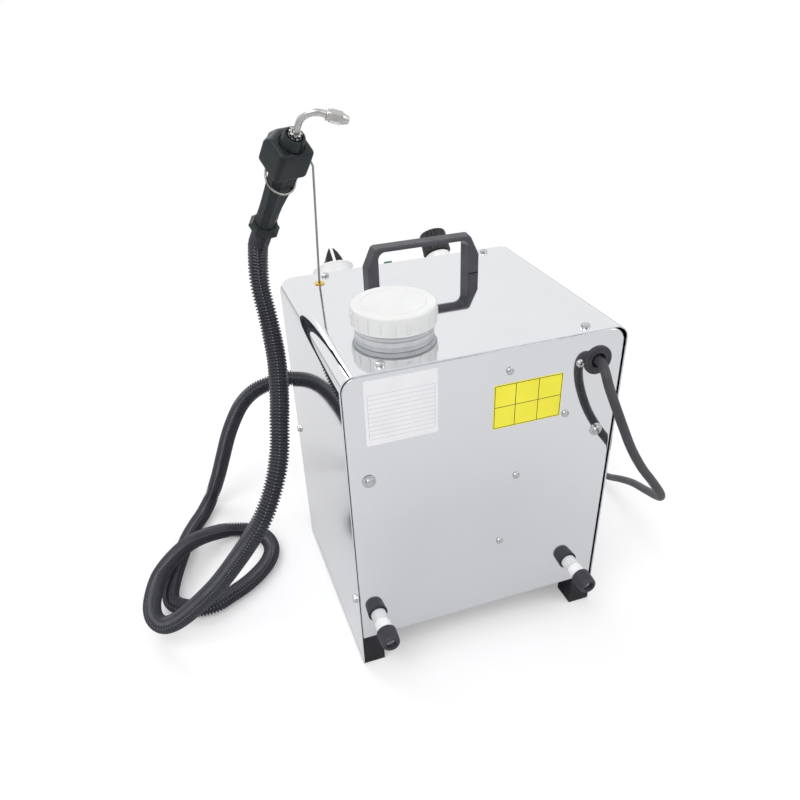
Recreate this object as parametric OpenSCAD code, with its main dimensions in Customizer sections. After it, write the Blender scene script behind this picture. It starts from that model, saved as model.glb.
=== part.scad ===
// Dry steam cleaner: sheet-metal cabinet with tank, boiler and steam handpiece

/* [Cabinet] */
// Width of the cover
cabinet_w = 290; // [270:1:310]
// Depth of the cover
cabinet_d = 256; // [240:1:272]
// Height of the cover's top above the floor
cabinet_h = 368; // [350:1:390]
// Sheet thickness
sheet = 1.2; // [0.8:0.1:2]
// Outside radius of the two long bends
bend_r = 15; // [8:1:20]
// Height of the cover's lower edge above the floor
cover_gap = 2; // [1:0.5:6]
// How far the end panels sit inside the cover's edge
panel_inset = 1.5; // [0.5:0.5:4]
// Depth of the folded flange round each end panel
flange_d = 20; // [16:1:26]
// Clearance between parts that are fitted together
fit_gap = 0.2; // [0.1:0.05:0.4]
// Distance of the top screws from the cabinet's middle
top_screw_x = 103; // [90:1:115]
// The same distance of the front screw beside the handpiece
front_screw_x = 94; // [86:1:98]
// Height of the rear side screws
side_screw_rear_z = 95; // [80:1:140]
// Height of the front side screws
side_screw_front_z = 176; // [150:1:200]

/* [Feet] */
// Height of the feet
foot_h = 40; // [36:1:46]
// Width of a foot
foot_w = 24; // [20:1:28]
// Length of a foot before its round end
foot_l = 28; // [24:1:36]
// Thickness of the base tray
tray_t = 1.5; // [1:0.1:2.5]

/* [Carry handle] */
// Width of the handle
handle_w = 127; // [116:1:136]
// Height of the handle above the cover
handle_h = 42; // [38:1:50]
// Depth of the handle
handle_d = 18; // [15:1:21]
// Thickness of the handle's legs
handle_leg = 11; // [9:0.5:14]
// Thickness of the handle's bar
handle_bar = 5; // [4:0.5:8]
// Handle centre left of the cabinet's middle
handle_x = -5; // [-15:1:5]
// Handle centre behind the cabinet's middle
handle_y = -66; // [-76:1:-50]

/* [Tank] */
// Width of the water tank
tank_w = 98; // [88:1:102]
// Depth of the water tank
tank_d = 96; // [88:1:100]
// Wall of the water tank
tank_wall = 3; // [2:0.5:4]
// Gap from the tank to the cabinet's side
tank_side_gap = 27.5; // [24:0.5:32]
// Gap from the tank to the cabinet's rear edge
tank_rear_gap = 26.5; // [22:0.5:30]
// Drop of the tank's roof below the cabinet's top
tank_roof_drop = 17; // [14:1:24]
// Outside radius of the filler neck
neck_r = 38; // [34:0.5:40]
// Height of the neck above the cabinet's top
neck_rise = 14; // [13:0.5:18]

/* [Tank cap] */
// Radius of the cap's top edge
cap_r = 41.2; // [41:0.1:44]
// Height of the cap's skirt edge above the cabinet's top
cap_low = 11; // [8:0.5:12]
// Height of the cap
cap_h = 19; // [17:0.5:24]
// Number of ribs round the skirt
cap_ribs = 20; // [12:2:36]
// Clearance between cap and neck
cap_gap = 0.5; // [0.3:0.1:0.8]
// Thickness of the cap's sealing disc
liner_t = 2.5; // [2:0.1:3]

/* [Rear fittings] */
// Distance of the cord gland from the cabinet's side
gland_in = 30.4; // [28:0.2:34]
// Drop of the cord gland below the cabinet's top
gland_down = 33; // [28:1:38]
// Radius of the gland flange
gland_r = 15; // [13:0.5:17]
// Thickness of the gland flange
gland_t = 2.5; // [2:0.5:5]
// Radius of the gland's bore
gland_bore_r = 7.2; // [6:0.1:8]
// Width of the yellow plate
yellow_w = 73.5; // [60:0.5:76]
// Height of the yellow plate
yellow_h = 48.5; // [40:0.5:50]
// Width of the white plate
white_w = 70.5; // [60:0.5:74]
// Height of the white plate
white_h = 67.5; // [60:0.5:70]
// Thickness of the plates
plate_t = 0.4; // [0.3:0.1:0.8]
// Height of the two rear posts
post_z = 58; // [54:1:80]
// Distance of the posts from the cabinet's sides
post_in = 25; // [22:1:40]
// Radius of the post sleeves
post_r = 8.8; // [8:0.1:10]
// Radius of the post caps at the sleeve
post_cap_r = 11.2; // [10.4:0.1:12]
// Radius of the post caps at the end
post_tip_r = 9.9; // [8.5:0.1:10.4]
// Length of the post sleeves
post_sleeve_l = 14; // [10:1:20]
// Length of the post caps
post_cap_l = 20; // [14:1:24]

/* [Console] */
// Width of the control console
console_w = 236; // [220:1:244]
// Slope of the control face
console_slope = 42; // [38:1:46]
// Length of the sloped face
console_len = 72; // [68:1:80]
// Height of the console's front face
console_face = 65; // [50:1:80]
// Wall of the console
console_wall = 2; // [1.5:0.5:3]

/* [Controls] */
// Radius of the steam knob
knob_r = 17.4; // [15:0.2:19]
// Length of the steam knob
knob_l = 27; // [24:1:34]
// Number of flutes on the steam knob
knob_flutes = 22; // [16:1:24]
// Radius of the steam knob's collar
knob_collar_r = 14.5; // [12:0.5:15]
// Height of the steam knob's collar
knob_collar_h = 20.5; // [18:0.5:24]
// Radius of the control spindles
spindle_r = 3; // [2.5:0.1:3.5]
// Running clearance of spindles and pins
run_gap = 0.05; // [0.03:0.01:0.08]
// Radius of the selector's white skirt
skirt_r = 25; // [23:0.5:27]
// Height of the skirt's front above the slope
skirt_h = 24; // [22:0.5:26]
// Thickness of the skirt
skirt_t = 2; // [1.5:0.5:3]
// Height of the selector's grip bar
grip_bar_h = 20; // [16:1:24]
// Width of the selector's grip bar
grip_bar_w = 20; // [16:0.5:24]
// Width of the rocker
rocker_w = 10; // [8:0.5:12]
// Length of the rocker
rocker_l = 18; // [16:0.5:20]

/* [Holder] */
// Radius of the holder wire
wire_r = 1.15; // [1:0.05:1.6]
// Radius of the ring's centre line
ring_r = 15.6; // [15:0.1:18]
// Angle that the ring covers
ring_arc = 285; // [260:1:290]
// Tilt of the ring from square to the handpiece
ring_tilt = 26; // [24:1:30]
// Height of the wire's bend above the cabinet's top
rod_h = 126; // [120:1:134]
// Radius of the brass bush
bush_r = 5.8; // [5:0.1:8]
// Height of the brass bush above the cover
bush_h = 1.4; // [1:0.1:3]

/* [Handpiece] */
// Lean of the handpiece from upright
hand_lean = 38; // [36:1:40]
// Turn of the lean about the vertical
hand_turn = 22; // [20:1:24]
// Width of the head
head_w = 36; // [34:0.5:40]
// Head's reach on its near side
head_near = 14; // [13:0.5:16]
// Head's reach on its far side
head_far = 24; // [20:0.5:26]
// Height of the head
head_h = 31.5; // [30:0.5:36]
// Height of the head's underside above the ring's middle
head_low = 14; // [14:0.5:16]
// Radius of the boss on the head
boss_r = 10.8; // [10.4:0.1:13]
// Height of the boss
boss_h = 11; // [9:0.5:14]
// Radius of the grip at the head
grip_top_r = 12.6; // [12:0.1:12.8]
// Radius of the grip at the collar
grip_low_r = 10.2; // [9.8:0.1:12.5]
// Half distance between the grip's flats
grip_flat = 11.3; // [10.5:0.1:11.4]
// Length of the grip
grip_l = 71; // [67:1:80]
// Radius of the grip's collar
collar_r = 14.8; // [14.6:0.1:17]
// Length of the grip's collar
collar_l = 12; // [11:0.5:16]
// Radius of the steam channel in the grip
channel_r = 5; // [4:0.5:6]
// Outside radius of the nozzle tube
tube_r = 3.25; // [2.75:0.05:3.5]
// Wall of the nozzle tube
tube_wall = 1; // [0.8:0.1:1.5]
// Bend radius of the nozzle tube
tube_bend = 12; // [10:0.5:14]
// Height of the tube's bend above the boss
tube_rise = 27.5; // [25:0.5:30]
// Reach of the nozzle's tip from the bend
tip_reach = 39; // [36:0.5:44]
// Length of the nozzle tip
tip_l = 24; // [20:0.5:26]
// Width of the nozzle tip across flats
tip_af = 11; // [10:0.2:13]
// Radius of the hole in the nozzle tip
tip_hole_r = 1; // [0.6:0.1:1.6]
// Turn of the nozzle about the handpiece
nozzle_turn = -30; // [-40:1:-20]
// Radius of the steam button
button_r = 5; // [4:0.5:6]
// How far the steam button stands out
button_out = 3; // [2.5:0.5:4]
// Travel of the steam button
button_travel = 2; // [1:0.5:2]

/* [Boiler] */
// Outside radius of the boiler
boiler_r = 63; // [56:1:66]
// Height of the boiler
boiler_h = 200; // [180:1:215]
// Wall of the boiler
boiler_wall = 3; // [2:0.5:4]
// Height of the boiler's stand
stand_h = 24; // [20:1:30]
// Thickness of the heater flange
heater_t = 4; // [3:0.5:6]
// Radius of the heating rods
heater_rod_r = 4; // [3:0.5:5]
// Length of the heating rods
heater_rod_l = 130; // [100:1:150]

/* [Hose and cord] */
// Outside radius of the ribbed hose
hose_r = 9.25; // [8:0.05:9.5]
// Depth of the hose's ribs
rib_depth = 1.4; // [1:0.1:1.8]
// Radius of the hose's bore
hose_bore_r = 5.5; // [4:0.1:6]
// Number of ribs on the hose
rib_count = 160; // [120:1:170]
// Radius of the mains cord
cord_r = 4.75; // [4:0.05:4.9]
// Radius of the coil at its middle turn
coil_r = 52; // [50:1:56]
// Turns in each of the coil's two layers
coil_turns = 2; // [1:1:3]
// Step from one turn of the coil to the next
coil_step = 10.4; // [10.2:0.1:12]

/* [Hidden] */
$fn = 48;
// Shift that centres the object over the origin
body_x = -14.6;
body_y = 21.35;

half_w = cabinet_w / 2;
half_d = cabinet_d / 2;
rear_y = half_d - panel_inset;
front_y = -rear_y;
pan_w = cabinet_w - 2 * (sheet + fit_gap);
pan_top = cabinet_h - sheet - fit_gap;
pan_r = bend_r - sheet - fit_gap;
tray_z = foot_h + sheet;
tray_top = tray_z + tray_t;
screw_y = rear_y - flange_d / 2;
foot_x = pan_w / 2 - foot_w / 2;

screw_r = 2;
screw_gap = 0.15;
screw_head_r = 3.8;
screw_head_h = 2.2;

tank_x = half_w - tank_side_gap - tank_w / 2;
tank_y = half_d - tank_rear_gap - tank_d / 2;
tank_roof = cabinet_h - tank_roof_drop;
cap_top = cabinet_h + cap_low + cap_h;
liner_gap = 0.3;
liner_z = cabinet_h + neck_rise + liner_gap;
handle_screw_x = handle_w / 2 - handle_leg / 2;
handle_screw_l = 12;

gland_x = -(half_w - gland_in);
gland_z = cabinet_h - gland_down;
gland_hub_r = 10;
gland_bore_d = 8;

post_xs = [half_w - post_in, post_in - half_w];
post_end = post_sleeve_l + post_cap_l;
post_bolt_r = 3;

console_y = front_y;
console_z = pan_top - 0.1;
slope_y = cos(console_slope);
slope_z = sin(console_slope);
console_front = console_y - console_len * slope_y;
console_low = console_z - console_len * slope_z - console_face;
window_low = console_z - 82;
window_top = console_z - 6;

knob_x = -64.6;
knob_s = 41.6;
selector_x = 70;
selector_s = 47.6;
rocker_x = 12;
rocker_s = 16;
valve_side = 24;
valve_d = 28;
selector_side = 30;
selector_d = 22;
rocker_d = 13;
bezel_t = 2;
bezel_rim = 2;
rocker_pin_r = 1.2;
knob_gap = 1;

bush_x = half_w - 39.7;
bush_y = 31.5 - half_d;
bush_hub_r = 4;
bush_depth = 8;

hand_at = [147, -30, cabinet_h + 128.6];
hand_axis = [-sin(hand_lean) * sin(hand_turn), sin(hand_lean) * cos(hand_turn), cos(hand_lean)];
hand_u = [-cos(hand_turn), -sin(hand_turn), 0];
hand_v = [cos(hand_lean) * sin(hand_turn), -cos(hand_lean) * cos(hand_turn), sin(hand_lean)];
head_top = head_low + head_h;
boss_top = head_top + boss_h;
grip_bottom = head_low - grip_l;
collar_bottom = grip_bottom - collar_l;
tube_corner = boss_top + tube_rise;
nut_h = 5;
nut_af = 13;
tip_bore_d = 8;
ring_rise = 4;
ring_start = 75;

boiler_x = -64;
boiler_y = -20;
boiler_low = tray_top + stand_h + heater_t;
boiler_top = boiler_low + boiler_h;

outlet_x = 92;
outlet_z = 200;
outlet_l = 30;
outlet_y = front_y - outlet_l;
outlet_r = 15;
solenoid_d = 34;
solenoid_side = 30;

pump_size = [70, 42, 55];
pump_at = [35 - half_w, 62, tray_top];
feed_r = 4;
pipe_r = 4;

// Routes through points chosen by hand
hose_end_gap = 1.2;
hand_end = hand_at + hand_axis * (collar_bottom - hose_end_gap);
hose_route = [
  [outlet_x, outlet_y, outlet_z], [outlet_x, outlet_y - 20, outlet_z], [96, -198, 200], [112, -215, 197],
  [135, -222, 193], [162, -225, 189], [184, -228, 180], [202, -230, 164], [216, -232, 142],
  [229, -235, 114], [240, -238, 84], [253, -239, 50], [268, -232, 22], [284, -210, 9.3],
  [299, -184, 9.3], [313, -156, 9.3], [328, -114, 9.3], [338, -81, 9.3], [343, -56, 9.3], [341, -40, 9.3],
  [330, -28, 9.3], [312, -19, 9.3], [294, -18, 9.3], [277, -25, 9.3], [244, -44, 9.3],
  [218, -70, 9.3], [207, -97, 9.3], [212, -125, 9.3], [232, -146, 9.3], [258, -152, 13],
  [284, -142, 23], [307, -122, 33], [329, -96, 38], [350, -62, 40], [361, -22, 40], [361, 6, 40],
  [351, 25, 42], [333, 36, 54], [309, 47, 79], [282, 58, 111], [256, 65, 146],
  [234, 66, 175], [218, 59, 195], [202, 44, 220], [191, 25, 242], [184, 6, 266], [178, -12, 286],
  [172, -38, 315], [169, -62, 348], [168, -78, 386], hand_end - hand_axis * 2 * hose_r, hand_end];
cord_start = [gland_x, rear_y + gland_t - gland_bore_d, gland_z];
coil_at = [-170, -262];
coil_z0 = cord_r;
coil_z1 = 3 * cord_r + 0.5;
coil_a0 = 210;
coil_lead = 60;
coil_out_r = coil_r + coil_step * coil_turns / 2;
coil_in = [coil_at[0] + coil_out_r * cos(coil_a0), coil_at[1] + coil_out_r * sin(coil_a0), coil_z0];
coil_dir = [-sin(coil_a0), cos(coil_a0), 0];
cord_route = [
  cord_start, cord_start + [0, 12, 0], [gland_x + 0.8, 146, gland_z - 4],
  [gland_x + 1, 154, gland_z - 15], [-115.4, 160, 302], [-122.5, 165, 280], [-136.5, 168, 251], [-154,
    169, 224], [-171, 170, 203],
  [-186, 167, 183], [-198, 158, 166], [-211, 136, 148], [-230, 95, 122], [-250, 45, 93], [-266, 0, 64],
  [-280, -45, 34], [-289, -85, 14], [-292, -120, 6], [-288, -155, cord_r], [-276, -192, cord_r],
  coil_in - coil_dir * 60, coil_in - coil_dir * 30, coil_in - coil_dir * 10];

// Smooth curve through a list of points
function spline_point(a, b, c, d, t) =
  0.5 * (2 * b + (c - a) * t + (2 * a - 5 * b + 4 * c - d) * t * t + (3 * b - 3 * c + d - a) * t * t * t);
function spline(p, k) = let (n = len(p)) concat(
  [for (i = [0 : n - 2], j = [0 : k - 1])
    i == 0 ? p[0] + (p[1] - p[0]) * j / k
    : i == n - 2 ? p[n - 2] + (p[n - 1] - p[n - 2]) * j / k
    : spline_point(p[i - 1], p[i], p[i + 1], p[i + 2], j / k)],
  [p[n - 1]]);
// Running length along a list of points
function run_length(p) = [for (i = 0, s = 0; i < len(p); i = i + 1,
  s = s + (i < len(p) ? norm(p[i] - p[i - 1]) : 0)) s];
// Points at even steps along a curve
function even_points(p, n) = let (s = run_length(p), total = s[len(s) - 1],
  tx = [for (i = [0 : len(p) - 1]) [s[i], p[i][0]]],
  ty = [for (i = [0 : len(p) - 1]) [s[i], p[i][1]]],
  tz = [for (i = [0 : len(p) - 1]) [s[i], p[i][2]]])
  [for (i = [0 : n]) let (q = total * i / n) [lookup(q, tx), lookup(q, ty), lookup(q, tz)]];
function unit(v) = v / norm(v);
// Direction of travel at each point
function tangents(p) = let (n = len(p)) [for (i = [0 : n - 1])
  i == 0 ? unit(p[1] - p[0]) : i == n - 1 ? unit(p[n - 1] - p[n - 2]) : unit(p[i + 1] - p[i - 1])];
// Side vector carried along without twist
function side_start(t) = unit(cross(t, abs(t[2]) < 0.9 ? [0, 0, 1] : [1, 0, 0]));
function carry(u, t) = unit(u - t * (u * t));
function sides(t) = [for (i = 0, u = side_start(t[0]); i < len(t); i = i + 1,
  u = i < len(t) ? carry(u, t[i]) : u) u];
// Ring of points round one place on a curve
function ring_at(c, t, u, r, n) = let (v = cross(t, u))
  [for (k = [0 : n - 1]) c + r * (u * cos(360 * k / n) + v * sin(360 * k / n))];
function tube_rings(p, radii, n) = let (t = tangents(p), u = sides(t))
  [for (i = [0 : len(p) - 1]) each ring_at(p[i], t[i], u[i], radii[i], n)];
function wall_faces(rings, n, at) = [for (i = [0 : rings - 2], k = [0 : n - 1])
  let (a = at + i * n + k, b = at + i * n + (k + 1) % n)
  each [[a, b + n, b], [a, a + n, b + n]]];
function cap_faces(n, at, turn) = [for (k = [1 : n - 2])
  turn ? [at, at + k, at + k + 1] : [at, at + k + 1, at + k]];
function flip(f) = [for (q = f) [q[0], q[2], q[1]]];
// Solid round bar along points
module bar(p, r, n) {
  m = len(p);
  polyhedron(tube_rings(p, [for (q = p) r], n),
    concat(wall_faces(m, n, 0), cap_faces(n, 0, true), cap_faces(n, (m - 1) * n, false)));
}
// Hollow ribbed tube along points
module ribbed_tube(route, ribs, r, depth, bore, n) {
  curve = spline(route, 12);
  p = even_points(curve, 2 * ribs);
  q = even_points(curve, 70);
  m = len(p);
  w = len(q);
  outer = tube_rings(p, [for (i = [0 : m - 1]) i % 2 == 0 ? r : r - depth], n);
  inner = tube_rings(q, [for (c = q) bore], n);
  e = m * n;
  start_face = [for (k = [0 : n - 1]) let (j = (k + 1) % n) each [[k, j, e + j], [k, e + j, e + k]]];
  end_face = [for (k = [0 : n - 1]) let (j = (k + 1) % n, a = (m - 1) * n, b = e + (w - 1) * n)
    each [[a + k, b + j, a + j], [a + k, b + k, b + j]]];
  polyhedron(concat(outer, inner),
    concat(wall_faces(m, n, 0), flip(wall_faces(w, n, e)), start_face, end_face));
}
// Coil: two flat spirals, the upper one on the lower
function coil_radius(a) = let (turns = a / 360)
  coil_out_r - coil_step * (turns <= coil_turns ? turns : 2 * coil_turns - turns);
function coil_height(a) = let (f = (a - coil_turns * 360 + 90) / 180)
  coil_z0 + (coil_z1 - coil_z0) * (f <= 0 ? 0 : f >= 1 ? 1 : f * f * (3 - 2 * f));
function coil_point(a) = [coil_at[0] + coil_radius(a) * cos(coil_a0 + a),
  coil_at[1] + coil_radius(a) * sin(coil_a0 + a), coil_height(a)];
coil_end_a = coil_turns * 720;
coil_end = coil_point(coil_end_a);
coil_end_dir = [-sin(coil_a0 + coil_end_a), cos(coil_a0 + coil_end_a), 0];
coil_points = concat([coil_in - coil_dir * 10],
  [for (i = [0 : 48 * coil_turns]) coil_point(i * 15)], [coil_end + coil_end_dir * coil_lead]);
coil_gap = min([for (i = [0 : len(coil_points) - 14], j = [i + 13 : len(coil_points) - 1])
  norm(coil_points[i] - coil_points[j])]) - 2 * cord_r;
echo(coil_gap = coil_gap);

module placed() { translate([body_x, body_y, 0]) children(); }
module along_y(y0, y1) { translate([0, y1, 0]) rotate([90, 0, 0]) linear_extrude(y1 - y0) children(); }
module along_x(x0, x1) { translate([x0, 0, 0]) rotate([90, 0, 90]) linear_extrude(x1 - x0) children(); }
module box(a, b) { translate(a) cube(b - a); }
// Upright outline with rounded upper corners
module arch_outline(w, z0, z1, r) {
  translate([-w / 2, z0]) square([w, z1 - z0 - r]);
  translate([r - w / 2, z0]) square([w - 2 * r, z1 - z0]);
  for (s = [-1, 1]) translate([s * (w / 2 - r), z1 - r]) circle(r);
}
// Folded pan that closes one end of the cover
module end_pan(screw_xs) {
  difference() {
    along_y(rear_y - flange_d, rear_y) arch_outline(pan_w, foot_h, pan_top, pan_r);
    along_y(rear_y - flange_d - 1, rear_y - sheet)
      arch_outline(pan_w - 2 * sheet, foot_h + sheet, pan_top - sheet, pan_r - sheet);
    for (x = screw_xs) translate([x, screw_y, pan_top - 2 * sheet])
      cylinder(r = screw_r + screw_gap, h = 3 * sheet);
    for (s = [-1, 1]) translate([s * foot_x, screw_y, foot_h - 1])
      cylinder(r = screw_r + screw_gap, h = sheet + 2);
  }
}
module side_hole(z) {
  for (s = [-1, 1]) translate([s * (half_w - 6), screw_y, z]) rotate([0, s * 90, 0])
    cylinder(r = screw_r + screw_gap, h = 12);
}
// Pan-head screw that points down from its seat
module pan_screw(l) {
  difference() {
    union() {
      cylinder(r = screw_head_r, h = screw_head_h);
      translate([0, 0, -l]) cylinder(r = screw_r, h = l + 0.1);
    }
    for (a = [0, 90]) rotate([0, 0, a]) translate([-2.2, -0.45, screw_head_h - 1.2]) cube([4.4, 0.9, 2]);
  }
}
module hex_nut(af, h, r) {
  difference() {
    cylinder(r = af / sqrt(3), h = h, $fn = 6);
    translate([0, 0, -1]) cylinder(r = r, h = h + 2);
  }
}
module on_rear(x, z) { translate([x, rear_y, z]) rotate([-90, 0, 0]) children(); }
module on_slope(x, s) {
  translate([x, console_y - s * slope_y, console_z - s * slope_z])
    rotate([console_slope, 0, 0]) children();
}
module on_hand() {
  translate(hand_at) rotate([0, 0, hand_turn]) rotate([-hand_lean, 0, 0]) rotate([0, 0, 180]) children();
}
top_screw_at = [[top_screw_x, screw_y], [-top_screw_x, screw_y], [front_screw_x, -screw_y],
  [-top_screw_x, -screw_y]];
panel_screw_at = [[-20, cabinet_h - 26], [-84.5, cabinet_h - 87], [-34, 218], [-19, 134],
  [gland_x + gland_r + screw_head_r + 0.5, gland_z]];
washer_screw_at = [[half_w - 21.6, cabinet_h - 115], [21.6 - half_w, cabinet_h - 115]];

module base_tray() {
  color("silver") placed() difference() {
    box([-pan_w / 2 + sheet + fit_gap, -rear_y + sheet + fit_gap, tray_z],
      [pan_w / 2 - sheet - fit_gap, rear_y - sheet - fit_gap, tray_top]);
    for (s = [-1, 1], t = [-1, 1]) translate([s * foot_x, t * screw_y, tray_z - 1])
      cylinder(r = screw_r + screw_gap, h = tray_t + 2);
  }
}
module main_cover() {
  color("gainsboro") placed() difference() {
    along_y(-half_d, half_d) difference() {
      arch_outline(cabinet_w, cover_gap, cabinet_h, bend_r);
      arch_outline(cabinet_w - 2 * sheet, cover_gap - 1, cabinet_h - sheet, bend_r - sheet);
    }
    translate([tank_x, tank_y, cabinet_h - 5]) cylinder(r = neck_r + cap_gap, h = 10);
    translate([bush_x, bush_y, cabinet_h - 5]) cylinder(r = bush_hub_r + fit_gap, h = 10);
    for (s = [-1, 1]) {
      translate([handle_x + s * handle_screw_x, handle_y, cabinet_h - 5])
        cylinder(r = screw_r + screw_gap, h = 10);
    }
    for (p = top_screw_at) translate([p[0], p[1], cabinet_h - 5])
      cylinder(r = screw_r + screw_gap, h = 10);
    side_hole(side_screw_rear_z);
    mirror([0, 1, 0]) side_hole(side_screw_front_z);
  }
}
module rear_panel() {
  color("gainsboro") placed() difference() {
    end_pan([top_screw_x, -top_screw_x]);
    side_hole(side_screw_rear_z);
    for (p = panel_screw_at) translate([p[0], rear_y + 1, p[1]]) rotate([90, 0, 0])
      cylinder(r = screw_r + screw_gap, h = sheet + 2);
    for (p = washer_screw_at) translate([p[0], rear_y + 1, p[1]]) rotate([90, 0, 0])
      cylinder(r = screw_r + screw_gap, h = sheet + 2);
    for (x = post_xs) translate([x, rear_y + 1, post_z]) rotate([90, 0, 0])
      cylinder(r = post_bolt_r + screw_gap, h = sheet + 2);
    translate([gland_x, rear_y + 1, gland_z]) rotate([90, 0, 0])
      cylinder(r = gland_hub_r + fit_gap, h = sheet + 2);
  }
}
module front_panel() {
  color("gainsboro") placed() difference() {
    mirror([0, 1, 0]) difference() {
      end_pan([front_screw_x, -top_screw_x]);
      side_hole(side_screw_front_z);
    }
    for (w = [[knob_x, valve_side / 2 + 2], [selector_x, selector_side / 2 + 2], [rocker_x,
      rocker_w / 2 + 4]])
      box([w[0] - w[1], front_y - 1, window_low], [w[0] + w[1], front_y + sheet + 1, window_top]);
    translate([outlet_x, front_y + sheet + 1, outlet_z]) rotate([90, 0, 0]) cylinder(r = 8 + fit_gap,
      h = sheet + 2);
  }
}
module control_console() {
  color("gainsboro") placed() difference() {
    along_x(-console_w / 2, console_w / 2) polygon([[console_y, console_z],
      [console_front, console_z - console_len * slope_z], [console_front, console_low], [console_y,
        console_low]]);
    along_x(console_wall - console_w / 2, console_w / 2 - console_wall) let (
      w = console_wall, k = console_wall / slope_y, g = slope_z / slope_y)
      polygon([[console_y + 1, console_z - k + g],
        [console_front + w, console_z - k - g * (console_y - console_front - w)],
        [console_front + w, console_low + w], [console_y + 1, console_low + w]]);
    on_slope(knob_x, knob_s) translate([0, 0, -9]) cylinder(r = spindle_r + 2, h = 18);
    on_slope(selector_x, selector_s) translate([0, 0, -9]) cylinder(r = spindle_r + 2, h = 18);
    on_slope(rocker_x, rocker_s) box([-rocker_w / 2 - 1.5, -rocker_l / 2 - 1.5, -9],
      [rocker_w / 2 + 1.5, rocker_l / 2 + 1.5, 9]);
  }
}
module feet() {
  color([0.09, 0.09, 0.1]) placed() for (s = [-1, 1], t = [-1, 1]) difference() {
    union() {
      box([s * foot_x - foot_w / 2, t > 0 ? rear_y - foot_l : -rear_y, 0],
        [s * foot_x + foot_w / 2, t > 0 ? rear_y : foot_l - rear_y, foot_h]);
      translate([s * foot_x, t * (rear_y - foot_l), 0]) cylinder(r = foot_w / 2 - 2, h = foot_h);
    }
    translate([s * foot_x, t * screw_y, -1]) cylinder(r = 5, h = 13);
    translate([s * foot_x, t * screw_y, -1]) cylinder(r = screw_r + screw_gap, h = foot_h + 2);
  }
}
module foot_screws() {
  color("dimgray") placed() for (s = [-1, 1], t = [-1, 1]) translate([s * foot_x, t * screw_y, 0]) {
    translate([0, 0, 12]) rotate([180, 0, 0]) pan_screw(tray_top + 6 - 12);
    translate([0, 0, tray_top]) hex_nut(7, 3.2, screw_r + run_gap);
  }
}
module carry_handle() {
  color([0.2, 0.2, 0.22]) placed() translate([handle_x, 0, cabinet_h]) difference() {
    along_y(handle_y - handle_d / 2, handle_y + handle_d / 2)
      let (w = handle_w / 2, h = handle_h, i = w - handle_leg, b = handle_h - handle_bar,
        r = 8) difference() {
        polygon([[-w, 0], [w, 0], [w, h - 20], [w - 9.5, h], [9.5 - w, h], [-w, h - 20]]);
        translate([-i, -1]) square([2 * i, b - r + 1]);
        translate([r - i, 0]) square([2 * (i - r), b]);
        for (s = [-1, 1]) translate([s * (i - r), b - r]) circle(r);
      }
    for (s = [-1, 1]) translate([s * handle_screw_x, handle_y, -1])
      cylinder(r = screw_r + run_gap, h = handle_screw_l + 2);
  }
}
module handle_screws() {
  color("dimgray") placed() for (s = [-1, 1])
    translate([handle_x + s * handle_screw_x, handle_y, cabinet_h - sheet]) rotate([180, 0, 0])
      pan_screw(sheet + handle_screw_l - 1);
}
module cover_screws() {
  color("lightgray") placed() for (p = top_screw_at) translate([p[0], p[1], cabinet_h]) pan_screw(7);
  color("lightgray") placed() for (s = [-1, 1]) {
    translate([s * half_w, screw_y, side_screw_rear_z]) rotate([0, s * 90, 0]) pan_screw(7);
    translate([s * half_w, -screw_y, side_screw_front_z]) rotate([0, s * 90, 0]) pan_screw(7);
  }
}
module panel_screws() {
  color("lightgray") placed() for (p = panel_screw_at) on_rear(p[0], p[1]) pan_screw(8);
}
module washer_screws() {
  color("lightgray") placed() for (p = washer_screw_at) on_rear(p[0], p[1]) {
    difference() {
      cylinder(r = 7, h = 1.2);
      translate([0, 0, -1]) cylinder(r = screw_r + screw_gap, h = 4);
    }
    translate([0, 0, 1.2]) pan_screw(11);
    translate([0, 0, -sheet - 3.2]) hex_nut(7, 3.2, screw_r + run_gap);
  }
}
module yellow_plate() {
  color("gold") placed() box([-4.5 - yellow_w, rear_y, cabinet_h - 87.5], [-4.5, rear_y + plate_t,
    cabinet_h - 87.5 + yellow_h]);
}
module white_plate() {
  color("white") placed() box([half_w - 22 - white_w, rear_y, cabinet_h - 8 - white_h], [half_w - 22,
    rear_y + plate_t, cabinet_h - 8]);
}
module cord_gland() {
  color([0.1, 0.1, 0.11]) placed() on_rear(gland_x, gland_z) {
    difference() {
      union() {
        cylinder(r = gland_r, h = gland_t);
        translate([0, 0, -14]) cylinder(r = gland_hub_r, h = 15);
      }
      translate([0, 0, gland_t - gland_bore_d]) cylinder(r = gland_bore_r, h = gland_bore_d + 1);
    }
    translate([0, 0, -sheet - 5]) hex_nut(26, 5, gland_hub_r + run_gap);
  }
}
module mains_cord() {
  color([0.16, 0.16, 0.17]) placed() bar(even_points(spline(cord_route, 8), 78), cord_r, 10);
}
module mains_coil() {
  color([0.16, 0.16, 0.17]) placed() bar(coil_points, cord_r, 6);
}
plug_at = coil_end + coil_end_dir * coil_lead;
module at_plug() { translate(plug_at) rotate([0, 0, coil_a0 + coil_end_a + 90]) rotate([0, 90,
  0]) children(); }
module mains_plug() {
  color([0.12, 0.12, 0.13]) placed() at_plug() {
    cylinder(r1 = 7, r2 = 11, h = 22);
    translate([0, 0, 22]) cylinder(r = coil_z1, h = 28);
  }
}
module plug_pins() {
  color("gainsboro") placed() at_plug() for (s = [-1, 1]) translate([0, 9.5 * s, 50]) cylinder(r = 2.4,
    h = 19);
}
module post_sleeves() {
  color("white") placed() for (x = post_xs) on_rear(x, post_z) difference() {
    cylinder(r = post_r, h = post_sleeve_l);
    translate([0, 0, -1]) cylinder(r = post_bolt_r + screw_gap, h = post_sleeve_l + 2);
  }
}
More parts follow.
